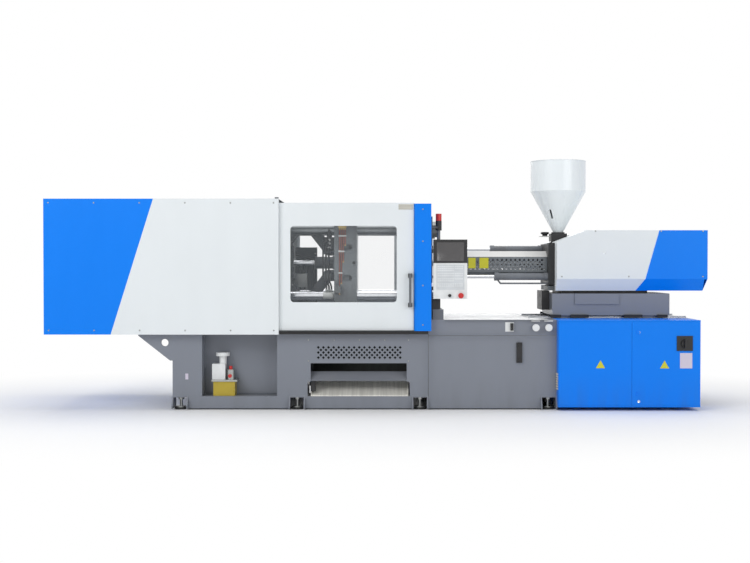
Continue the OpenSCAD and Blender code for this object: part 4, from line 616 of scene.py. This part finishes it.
def bevelled(piece, width, segments=2):
    only(piece)
    edge = piece.modifiers.new("edge_round", "BEVEL")
    edge.width = width
    edge.segments = segments
    edge.limit_method = "ANGLE"
    edge.angle_limit = math.radians(40)
    bpy.ops.object.modifier_apply(modifier=edge.name)
    bpy.ops.object.shade_smooth_by_angle(angle=math.radians(35))
    return piece


def fitted(piece, finish, body):
    piece.data.materials.clear()
    piece.data.materials.append(finish)
    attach(piece, body)
    return piece


def moved_copy(piece, name, shift):
    twin = piece.copy()
    twin.data = piece.data.copy()
    twin.name = name
    twin.data.transform(Matrix.Translation(shift))
    bpy.context.scene.collection.objects.link(twin)
    return twin


def joined(name, pieces):
    bpy.ops.object.select_all(action="DESELECT")
    for piece in pieces:
        piece.select_set(True)
    bpy.context.view_layer.objects.active = pieces[0]
    bpy.ops.object.join()
    pieces[0].name = name
    return pieces[0]


screen_glass = plastic("screen_glass", linear(68, 66, 67), 0.12, 0.6)
keypad_sheet = plastic("keypad_sheet", linear(206, 210, 213), 0.42)
key_white = plastic("key_moulding", linear(226, 229, 230), 0.38)
screen = sheet_block("touch_screen", (0.455, -0.6432, 1.218), (0.677, -0.6405, 1.371))
pressed(screen, facing(0, -1, 0), (0.004, -0.0006), (0.0015, -0.0008))
fitted(bevelled(screen, 0.0006), screen_glass, "control_panel")
keypad = sheet_block("membrane_keypad", (0.453, -0.6406, 0.986), (0.680, -0.6396, 1.190))
pressed(keypad, facing(0, -1, 0), (0.003, 0.0004))
fitted(keypad, keypad_sheet, "control_panel")
first_key = sheet_block("key", (0.462, -0.6425, 1.170), (0.474, -0.6404, 1.179))
pressed(first_key, facing(0, -1, 0), (0.0015, 0.0006))
key_pitch, pad_gap, main_pad, full_row, short_rows = 0.0172, 0.004, 8, 12, (2, 6)
keys = []
for row, drop in enumerate((0, 0.016, 0.032, 0.058, 0.074, 0.100, 0.116, 0.142, 0.158)):
    for column in range(main_pad if row in short_rows else full_row):
        shift = column * key_pitch + (pad_gap if column >= main_pad else 0)
        keys.append(moved_copy(first_key, "key", (shift, 0, -drop)))
bpy.data.objects.remove(first_key)
fitted(joined("keypad_keys", keys), key_white, "control_panel")


# Blank plates and blank yellow shapes where the real machine has its lettered labels: thin
# aluminium or film, glued or riveted to the sheet behind.
plate_metal = bare_metal("label_aluminium", linear(186, 184, 176), 0.4, (6, 200, 200))
label_yellow = machine_paint("label_yellow", linear(205, 200, 30), gloss=0.35)
label_white = machine_paint("label_white", linear(206, 198, 214), gloss=0.35)


def blank_plate(name, low, high, finish, body, rim=0.003):
    plate = sheet_block(name, low, high)
    outward = -1 if (low[1] + high[1]) < 0 else 1
    pressed(plate, facing(0, outward, 0), (rim, -0.0003))
    return fitted(bevelled(plate, 0.0004), finish, body)


def warning_triangle(name, x, z, width, face_y):
    bpy.ops.object.select_all(action="DESELECT")
    bpy.ops.mesh.primitive_cylinder_add(vertices=3, radius=width * 0.577, depth=0.0012,
                                        location=(x, face_y - 0.0007, z), rotation=(math.radians(90), 0, 0))
    triangle = placed(name)
    top = max(v.co.z for v in triangle.data.vertices)
    if abs(next(v.co.x for v in triangle.data.vertices if abs(v.co.z - top) < 1e-6) - x) > 0.001:
        triangle.data.transform(Matrix.Translation((x, 0, z)) @ Matrix.Rotation(math.radians(180), 4, "Y")
                                @ Matrix.Translation((-x, 0, -z)))
    pressed(triangle, facing(0, -1, 0), (0.005, -0.0002))
    return triangle


blank_plate("gate_plate", (0.146, -0.6072, 1.639), (0.262, -0.6052, 1.682), plate_metal,
            "front_gate")
for name, low, high, body in (
        ("rating_plate", (2.432, -0.6520, 0.347), (2.532, -0.6502, 0.472), "front_right_door"),
        ("post_mark", (-1.602, -0.5618, 0.248), (-1.578, -0.5602, 0.296), "frame")):
    blank_plate(name, low, high, label_white, body)
for name, x0, x1 in (("barrel_label_a", 0.752, 0.814), ("barrel_label_b", 0.846, 0.924)):
    blank_plate(name, (x0, -0.1522, 1.158), (x1, -0.1503, 1.248), label_yellow, "carriage")
sign_width, door_face = 0.074, -0.6503
for name, x, z, body in (("left_door_sign", 1.786, 0.370, "front_left_door"),
                         ("right_door_sign", 2.307, 0.368, "front_right_door")):
    fitted(warning_triangle(name, x, z, sign_width, door_face), label_yellow, body)


# Button head screws that hold the covers, guards and columns: one zinc plated screw with its
# sunk socket, set in every place where the sheets are fixed.
def turned_piece(name, radius, start, end, sides=32):
    along = Vector(end) - Vector(start)
    bpy.ops.object.select_all(action="DESELECT")
    bpy.ops.mesh.primitive_cylinder_add(vertices=sides, radius=radius, depth=along.length,
                                        location=(Vector(start) + Vector(end)) / 2,
                                        rotation=along.to_track_quat("Z", "Y").to_euler())
    return placed(name)


def button_screw(name, radius):
    screw = turned_piece(name, radius, (0, 0, 0), (0, -radius * 0.55, 0), sides=16)
    pick_faces(screw, facing(0, -1, 0))
    bpy.ops.transform.resize(value=(0.72, 1, 0.72), center_override=(0, 0, 0))
    bpy.ops.mesh.inset(thickness=radius * 0.30, depth=0)
    bpy.ops.mesh.inset(thickness=radius * 0.03, depth=-radius * 0.35)
    bpy.ops.object.mode_set(mode="OBJECT")
    bpy.ops.object.shade_smooth_by_angle(angle=math.radians(30))
    return screw


def screw_row(name, radius, places, body, finish, rear=False):
    pattern = button_screw("pattern_screw", radius)
    if rear:
        pattern.data.transform(Matrix.Rotation(math.radians(180), 4, "Z"))
    copies = [moved_copy(pattern, "screw", place) for place in places]
    bpy.data.objects.remove(pattern)
    return fitted(joined(name, copies), finish, body)


cover_edges = [(x, z) for x in (-2.70, -2.33, -1.96, -1.59, -1.22, -0.87) for z in (0.655, 1.692)]
bay_edges = [(x, z) for x in (-0.592, -0.38, -0.173, 0.034, 0.229) for z in (0.572, 0.4)
             if z > 0.5 or not -0.5 < x < 0.2]
for side, cover_y, bay_y, column_z in (("front", -0.64, -0.56, 1.38), ("rear", 0.64, 0.56, 1.45)):
    rear = side == "rear"
    screw_row(side + "_cover_screws", 0.007, [(x, cover_y, z) for x, z in cover_edges], "frame",
              zinc_steel, rear)
    screw_row(side + "_column_screws", 0.007, [(0.343, cover_y, z) for z in (0.70, 1.02, column_z, 1.64)],
              "frame", zinc_steel, rear)
    screw_row(side + "_bay_screws", 0.006, [(x, bay_y, z) for x, z in bay_edges], "frame", zinc_steel, rear)
screw_row("guard_screws", 0.005, [(x, -0.15, 1.148) for x in (0.66, 0.98, 1.19, 1.40)], "carriage",
          zinc_steel)
drive_edges = [(1.52, 1.09), (2.08, 1.09), (2.70, 1.09), (1.80, 1.47), (2.35, 1.47), (2.70, 1.47)]
screw_row("drive_cover_screws", 0.007, [(x, -0.35, z) for x, z in drive_edges], "carriage", zinc_steel)


# The slide below the mould: folded stainless sheet, bare and bright at the mouth, and near-black
# above it as painted shade inside the chute. A black light barrier sits at the mouth's end.
def slide_with_painted_shade(name, edge_z):
    group, given, made = effect_group(
        "shaded_slide", [place_socket, ("Edge", "NodeSocketFloat", 0.25)],
        film_outputs + [("Bare", "NodeSocketFloat")])
    wire = group.links.new
    place = given.outputs["Place"]
    bare = calculate(group, "LESS_THAN", axes_of(group, place)["Z"], given.outputs["Edge"])
    scuffs = cloudy(group, stretched(group, place, (60, 3, 3)), 1, 4)
    metal = blended(group, ranged(group, scuffs, 0.35, 0.65, 0, 1), linear(236, 234, 226),
                    linear(214, 212, 204))
    # Above the edge height the slide is near-black: painted shade inside the chute.
    upper_shade = blended(group, ranged(group, scuffs, 0.4, 0.7, 0, 1), linear(10, 16, 15), linear(24, 30, 28))
    wire(blended(group, bare, upper_shade, metal), made.inputs["Colour"])
    wire(plus(group, times(group, bare, -0.35), 0.75), made.inputs["Roughness"])
    wire(scuffs, made.inputs["Height"])
    wire(times(group, bare, 0.15), made.inputs["Bare"])
    material = coated_surface(name, group, {"Edge": edge_z}, 0.0004)
    nodes = material.node_tree.nodes
    film = next(node for node in nodes if node.type == "GROUP")
    material.node_tree.links.new(film.outputs["Bare"], nodes["Principled BSDF"].inputs["Metallic"])
    return material


slide_sheet = slide_with_painted_shade("slide_sheet", 0.247)
dress("product_chute", bed_grey, (slide_sheet, (-0.574, -0.4699, 0.1), (0.228, 0.26, 0.565)),
      (slide_sheet, (-0.574, -0.5605, 0.1), (0.228, -0.469, 0.2)))
barrier = sheet_block("light_barrier", (-0.5730, -0.5545, 0.150), (-0.5330, -0.5080, 0.233))
pressed(barrier, facing(0, -1, 0), (0.006, -0.003))
fitted(bevelled(barrier, 0.002), black_plastic, "frame")


# Steel guide channels of the gates' belts, above the upper tie bars: folded from sheet, each
# with a tab on the fixed platen at one end and a bracket on the cover frame at the other.
duct_grey = machine_paint("duct_grey", linear(84, 88, 88), gloss=0.4)


def duct(name, side):
    channel = sheet_block(name, (-0.826, -0.452, 1.529), (0.262, -0.416, 1.577))
    pressed(channel, facing(0, 1, 0), (0.004, -0.03))
    bevelled(channel, 0.0025)
    to_platen = sheet_block("platen_tab", (0.246, -0.4165, 1.532), (0.262, -0.3851, 1.574))
    to_frame = sheet_block("frame_tab", (-0.826, -0.5605, 1.545), (-0.812, -0.4515, 1.560))
    frame_pad = sheet_block("frame_pad", (-0.850, -0.5645, 1.530), (-0.812, -0.5602, 1.575))
    piece = joined(name, [channel, bevelled(to_platen, 0.002), bevelled(to_frame, 0.002),
                          bevelled(frame_pad, 0.001)])
    if side == "rear":
        piece.data.transform(Matrix.Scale(-1, 4, (0, 1, 0)))
        pick_faces(piece, lambda face: True)
        bpy.ops.mesh.normals_make_consistent(inside=False)
        bpy.ops.object.mode_set(mode="OBJECT")
    return fitted(piece, duct_grey, "frame")


for side in ("front", "rear"):
    duct(side + "_gate_channel", side)


# Copper lubrication pipes on the moving platen's side: thin tube bent by hand, clipped down
# with zinc plated saddles and fed from a brass distributor block.
def bent_pipe(name, radius, points, bend):
    path = [Vector(points[0])]
    for before, corner, after in zip(points, points[1:], points[2:]):
        corner, back, on = Vector(corner), Vector(before) - Vector(corner), Vector(after) - Vector(corner)
        start, end = corner + back.normalized() * bend, corner + on.normalized() * bend
        for step in range(7):
            t = step / 6
            path.append(start * (1 - t) ** 2 + corner * 2 * t * (1 - t) + end * t ** 2)
    path.append(Vector(points[-1]))
    bpy.ops.object.select_all(action="DESELECT")
    bpy.ops.object.add(type="CURVE", location=(0, 0, 0))
    pipe = bpy.context.object
    pipe.name = name
    pipe.data.dimensions = "3D"
    spline = pipe.data.splines.new("POLY")
    spline.points.add(len(path) - 1)
    for point, place in zip(spline.points, path):
        point.co = (*place, 1)
    pipe.data.bevel_depth = radius
    pipe.data.bevel_resolution = 3
    pipe.data.use_fill_caps = True
    bpy.ops.object.convert(target="MESH")
    pipe = bpy.context.object
    bpy.ops.object.shade_smooth_by_angle(angle=math.radians(50))
    return pipe


def pipe_nut(radius, start, end):
    nut = turned_piece("pipe_nut", radius, start, end, sides=6)
    return bevelled(nut, radius * 0.12)


copper = bare_metal("copper_pipe", linear(150, 92, 78), 0.35, (30, 30, 30))
brass = bare_metal("brass_fitting", linear(196, 172, 112), 0.32, (60, 60, 60))
platen_side = -0.3852
pipe_y = platen_side - 0.010
distributor = sheet_block("distributor", (-0.352, platen_side - 0.020, 1.496), (-0.284, platen_side, 1.516))
brass_parts, pipes = [bevelled(distributor, 0.002)], []
for x, point_z in ((-0.342, 0.95), (-0.326, 1.04), (-0.310, 1.22), (-0.294, 1.36)):
    end_z = point_z - 0.006
    brass_parts.append(pipe_nut(0.007, (x, pipe_y, 1.482), (x, pipe_y, 1.497)))
    brass_parts.append(pipe_nut(0.007, (x, platen_side - 0.012, end_z), (x, platen_side, end_z)))
    pipes.append(bent_pipe("pipe", 0.004, [(x, pipe_y, 1.484), (x, pipe_y, point_z + 0.02),
                                           (x, pipe_y, end_z)], 0.004))
fitted(joined("lubrication_distributor", brass_parts), brass, "moving_platen")
fitted(joined("lubrication_pipes", pipes), copper, "moving_platen")
clips = []
for z, x1 in ((1.43, -0.284), (1.30, -0.300), (1.12, -0.316), (1.0, -0.332)):
    clip = sheet_block("clip", (-0.352, platen_side - 0.015, z - 0.007), (x1, platen_side, z + 0.007))
    clips.append(bevelled(clip, 0.002))
fitted(joined("pipe_clips", clips), zinc_steel, "moving_platen")


# Socket head screws in the sides of both mould platens, ready for the pipes' and cables' holders:
# their near-black heads are painted shade of the pockets where they sit.
dark_socket = plastic("socket_screw_black", linear(22, 22, 24), 0.35)
for side, y in (("front", -0.385), ("rear", 0.385)):
    moving_places = [(-0.252, y, 1.335), (-0.252, y, 1.077), (-0.222, y, 1.206)]
    fixed_places = [(0.30, y, 1.335), (0.30, y, 1.077)]
    screw_row(side + "_platen_screws", 0.013, moving_places, "moving_platen", dark_socket, side == "rear")
    screw_row(side + "_fixed_platen_screws", 0.013, fixed_places, "frame", dark_socket, side == "rear")


# The ejector's solenoid valve on the moving platen: a moulded coil on a black body, zinc plated
# fittings, and three black steel pipes bent down to a terminal block.
valve = sheet_block("ejector_valve", (-0.470, -0.345, 1.300), (-0.388, -0.255, 1.420))
pressed(valve, facing(-1, 0, 0), (0.012, 0.012))
coil = turned_piece("valve_coil", 0.022, (-0.43, -0.30, 1.419), (-0.43, -0.30, 1.485), 24)
pressed(coil, facing(0, 0, 1), (0.007, 0.006))
fitted(joined("ejector_valve", [bevelled(valve, 0.003), bevelled(coil, 0.002)]), black_plastic,
       "moving_platen")
valve_fittings = [pipe_nut(0.011, (-0.43, -0.346, z), (-0.43, -0.372, z)) for z in (1.33, 1.365, 1.395)]
for x in (-0.452, -0.432, -0.412):
    valve_fittings.append(pipe_nut(0.011, (x, -0.330, 0.955), (x, -0.330, 0.985)))
terminal = sheet_block("pipe_terminal", (-0.480, -0.352, 0.900), (-0.3872, -0.306, 0.957))
valve_fittings.append(bevelled(terminal, 0.003))
fitted(joined("valve_fittings", valve_fittings), zinc_steel, "moving_platen")
pressure_black = plastic("hydraulic_pipe_black", linear(20, 20, 21), 0.5)
pressure_pipes = []
for i, z in enumerate((1.395, 1.365, 1.33)):
    run_x, end_x = -0.480 + 0.024 * i, -0.452 + 0.02 * i
    way = [(-0.43, -0.360, z), (-0.43, -0.3715 - 0.002 * i, z), (run_x, -0.372 - 0.001 * i, z - 0.03),
           (run_x, -0.371, 1.06), (end_x, -0.330, 1.01), (end_x, -0.330, 0.98)]
    pressure_pipes.append(bent_pipe("pressure_pipe", 0.0075, way, 0.012))
fitted(joined("ejector_pressure_pipes", pressure_pipes), pressure_black, "moving_platen")


# Limit switch of the mould's stroke on the platen's side: a cast box with a lever and roller
# that a cam on the bed pushes.
switch_box = sheet_block("gate_limit_switch", (-0.386, -0.428, 0.955), (-0.330, -0.3850, 1.015))
pressed(switch_box, facing(0, -1, 0), (0.006, -0.002))
lever = turned_piece("switch_lever", 0.004, (-0.358, -0.407, 1.013), (-0.372, -0.407, 1.048), 12)
roller = turned_piece("switch_roller", 0.010, (-0.372, -0.412, 1.05), (-0.372, -0.402, 1.05), 20)
switch_parts = [bevelled(switch_box, 0.003), bevelled(lever, 0.001), bevelled(roller, 0.002)]
fitted(joined("platen_limit_switch", switch_parts), duct_grey, "moving_platen")


# Keeper plates that hold the toggle's knee pins: short steel bars on the links' cheeks, each
# with two screws and a grease nipple between them.
knee_x, cheek = -0.656261, 0.1945
for link, knee_z in (("upper_rear_link", 1.583924), ("lower_rear_link", 0.828076)):
    keepers = []
    for side in (-1, 1):
        y, top = side * cheek, side * 0.199
        plate = sheet_block("keeper", (knee_x - 0.024, y - 0.0045, knee_z - 0.009),
                            (knee_x + 0.024, y + 0.0045, knee_z + 0.009))
        keepers.append(bevelled(plate, 0.002))
        for x in (knee_x - 0.016, knee_x + 0.016):
            keepers.append(pipe_nut(0.005, (x, top, knee_z), (x, side * 0.2035, knee_z)))
        keepers.append(pipe_nut(0.004, (knee_x, top, knee_z), (knee_x, side * 0.209, knee_z)))
    fitted(joined(link + "_keepers", keepers), zinc_steel, link)


# Clamp manifold at the rear of the bed, beside the toggle: a folded stand screwed to the bed,
# a drilled steel block with three solenoid valves on it, and the black pipes that they feed.
bed_level, stand_face = 0.7382, 0.470
stand = sheet_block("clamp_manifold_stand", (-0.865, stand_face, bed_level),
                    (-0.570, stand_face + 0.006, 1.345))
pressed(stand, facing(0, -1, 0), (0.03, 0.0), (0.004, -0.003))
stand_parts = [bevelled(stand, 0.0015)]
for low, high in (((-0.865, 0.420, bed_level), (-0.570, stand_face, 0.7442)),
                  ((-0.865, 0.430, 1.339), (-0.570, stand_face, 1.345)),
                  ((-0.865, 0.425, 0.7442), (-0.859, stand_face, 1.339)),
                  ((-0.576, 0.425, 0.7442), (-0.570, stand_face, 1.339))):
    stand_parts.append(bevelled(sheet_block("stand_flange", low, high), 0.0015))
fitted(joined("clamp_manifold_stand", stand_parts), link_cast, "frame")
screw_row("stand_foot_screws", 0.008, [(x, stand_face, z) for x in (-0.848, -0.587) for z in (0.80, 1.29)],
          "frame", zinc_steel)
block = bevelled(sheet_block("clamp_manifold", (-0.800, 0.392, 0.985), (-0.655, stand_face, 1.110)), 0.004)
valves = []
for x in (-0.790, -0.745, -0.700):
    valve_body = sheet_block("clamp_valve", (x, 0.396, 1.110), (x + 0.036, 0.462, 1.172))
    pressed(valve_body, facing(0, -1, 0), (0.006, -0.003))
    valves.append(bevelled(valve_body, 0.002))
    coil = turned_piece("valve_coil", 0.0165, (x + 0.018, 0.429, 1.171), (x + 0.018, 0.429, 1.238), 24)
    pressed(coil, facing(0, 0, 1), (0.005, 0.005))
    valves.append(bevelled(coil, 0.0015))
    plug = sheet_block("valve_plug", (x + 0.004, 0.398, 1.188), (x + 0.032, 0.416, 1.216))
    valves.append(bevelled(plug, 0.002))
fitted(block, zinc_steel, "frame")
fitted(joined("clamp_valves", valves), black_plastic, "frame")
risers, unions = [], []
for i, foot_x in enumerate((-0.842, -0.818, -0.794, -0.770)):
    port_x, foot_y = -0.785 + 0.04 * i, 0.442 - 0.006 * i
    way = [(foot_x, foot_y, 0.744), (foot_x, foot_y, 0.90 + 0.02 * i),
           (port_x, 0.430, 0.94 + 0.008 * i), (port_x, 0.430, 0.985)]
    risers.append(bent_pipe("riser", 0.0085, way, 0.02))
    unions.append(pipe_nut(0.013, (port_x, 0.430, 0.958), (port_x, 0.430, 0.986)))
    unions.append(pipe_nut(0.013, (foot_x, foot_y, 0.744), (foot_x, foot_y, 0.768)))
for i in range(2):
    y, rise = 0.448 - 0.020 * i, 0.035 * i
    way = [(-0.600, y, 0.744), (-0.600, y, 1.20 + rise), (-0.845, y, 1.26 + rise), (-0.845, y, 1.325)]
    risers.append(bent_pipe("riser", 0.0085, way, 0.03))
    unions.append(pipe_nut(0.013, (-0.600, y, 0.744), (-0.600, y, 0.766)))
fitted(joined("clamp_manifold_pipes", risers), pressure_black, "frame")
fitted(joined("manifold_unions", unions), zinc_steel, "frame")


# Aluminium tread plate screwed on top of the injection bed, with its raised lozenges rolled
# in: one sheet between the platen and the carriage's rails, and a strip beside each rail.
def tread_group():
    group, given, made = effect_group(
        "tread_lozenges", [place_socket, ("Pitch", "NodeSocketFloat", 34.0)], film_outputs)
    wire = group.links.new
    scaled = group.nodes.new("ShaderNodeVectorMath")
    scaled.operation = "SCALE"
    wire(given.outputs["Place"], scaled.inputs[0])
    wire(given.outputs["Pitch"], scaled.inputs["Scale"])
    at = axes_of(group, scaled.outputs[0])
    half_turn = 3.14159
    across = calculate(group, "SINE", times(group, plus(group, at["X"], at["Y"]), half_turn))
    along = calculate(group, "SINE", times(group, minus(group, at["X"], at["Y"]), half_turn))
    ridge = times(group, calculate(group, "POWER", calculate(group, "ABSOLUTE", across), 5.0),
                  calculate(group, "POWER", calculate(group, "ABSOLUTE", along), 1.5))
    raised = ranged(group, ridge, 0.2, 0.45, 0, 1)
    wear = cloudy(group, given.outputs["Place"], 7, 4)
    base = blended(group, ranged(group, wear, 0.35, 0.65, 0, 1), linear(206, 207, 208),
                   linear(184, 185, 186))
    wire(blended(group, times(group, raised, 0.5), base, linear(226, 227, 228)), made.inputs["Colour"])
    wire(minus(group, 0.5, times(group, raised, 0.2)), made.inputs["Roughness"])
    wire(raised, made.inputs["Height"])
    return group


tread_sheet = coated_surface("tread_sheet", tread_group(), {"Pitch": 34.0}, 0.0012, metallic=0.35)
tread_thickness = 0.002
treads = []
for low, high in (((0.522, -0.594), (1.238, 0.594)), ((1.242, -0.594), (1.372, -0.262)),
                  ((1.242, 0.262), (1.372, 0.594))):
    tread = sheet_block("tread", low + (bed_level,), high + (bed_level + tread_thickness,))
    treads.append(bevelled(tread, 0.001))
fitted(joined("bed_tread_plates", treads), tread_sheet, "frame")


# Tracks below the sliding gates: folded steel channels screwed to the bed's sides, in whose groove
# the gates' lower rollers run. Their black is painted shadow under the gates.
for side, y0, y1, outward in (("front", -0.6345, -0.6023, -1), ("rear", 0.6023, 0.6345, 1)):
    track = sheet_block(side + "_gate_shadow_strip", (-0.824, y0, 0.6235), (0.388, y1, 0.6500))
    pressed(track, facing(0, outward, 0), (0.006, 0.0), (0.001, -0.010))
    fitted(bevelled(track, 0.001), black_plastic, "frame")


# Wiper shoes at the carriage's feet: moulded rubber blocks, screwed on in pairs, that sweep chips and
# pellets off the guide rails; their near-black also stands for painted shade in the gap under the carriage.
wipers = []
for x0, x1 in ((1.432, 1.520), (1.600, 1.752), (2.050, 2.205), (2.330, 2.418)):
    for y0, y1 in ((-0.3125, -0.3045), (0.3045, 0.3125)):
        shoe = sheet_block("wiper", (x0, y0, 0.7425), (x1, y1, 0.7690))
        pressed(shoe, lambda face: abs(face.normal.y) > 0.9, (0.005, -0.002))
        wipers.append(bevelled(shoe, 0.0015))
fitted(joined("carriage_wipers", wipers), rubber_black, "carriage")


# Cover strips over the bed's joints, folded from thin sheet and glued on: one upright where
# the two beds meet, one along the edge of the oil tank's lid, on both sides of the machine.
strips = []
for y0, y1 in ((-0.6040, -0.6021), (0.6021, 0.6040)):
    for low, high in (((0.3865, y0, 0.112), (0.3945, y1, 0.6225)),
                      ((0.3945, y0, 0.6070), (1.4290, y1, 0.6140))):
        strips.append(bevelled(sheet_block("strip", low, high), 0.0008))
fitted(joined("bed_joint_strips", strips), frame_grey, "frame")


# Quarter turn locks of the cabinet doors and the drive's cover: chromed cylinders with a
# pressed key slot, held by a nut behind the sheet.
def quarter_lock(name, x, z, y, outward, body):
    lock = turned_piece(name, 0.011, (x, y, z), (x, y + outward * 0.0035, z), 28)
    pressed(lock, facing(0, outward, 0), (0.0025, -0.0008), (0.004, -0.0015))
    return fitted(bevelled(lock, 0.0006), hard_chrome, body)


for name, x, z, y, outward, body in (
        ("right_door_upper_lock", 2.098, 0.640, -0.6500, -1, "front_right_door"),
        ("right_door_lower_lock", 2.098, 0.078, -0.6500, -1, "front_right_door"),
        ("rear_door_upper_lock", 2.548, 0.545, 0.6902, 1, "rear_door"),
        ("rear_door_lower_lock", 2.548, 0.090, 0.6902, 1, "rear_door"),
        ("drive_cover_lock", 1.875, 1.292, -0.3502, -1, "carriage")):
    quarter_lock(name, x, z, y, outward, body)


# Blank signs at the back: a printed film plate glued to the rear door, and a yellow triangle
# of the same film above the power sockets.
blank_plate("rear_door_plate", (2.115, 0.6902, 0.270), (2.185, 0.6918, 0.395), label_white, "rear_door")
socket_sign = warning_triangle("socket_sign", 0, 0.575, 0.07, 0)
socket_sign.data.transform(Matrix.Translation((2.6, 0.44, 0)) @ Matrix.Rotation(math.radians(90), 4, "Z"))
fitted(socket_sign, label_yellow, "frame")
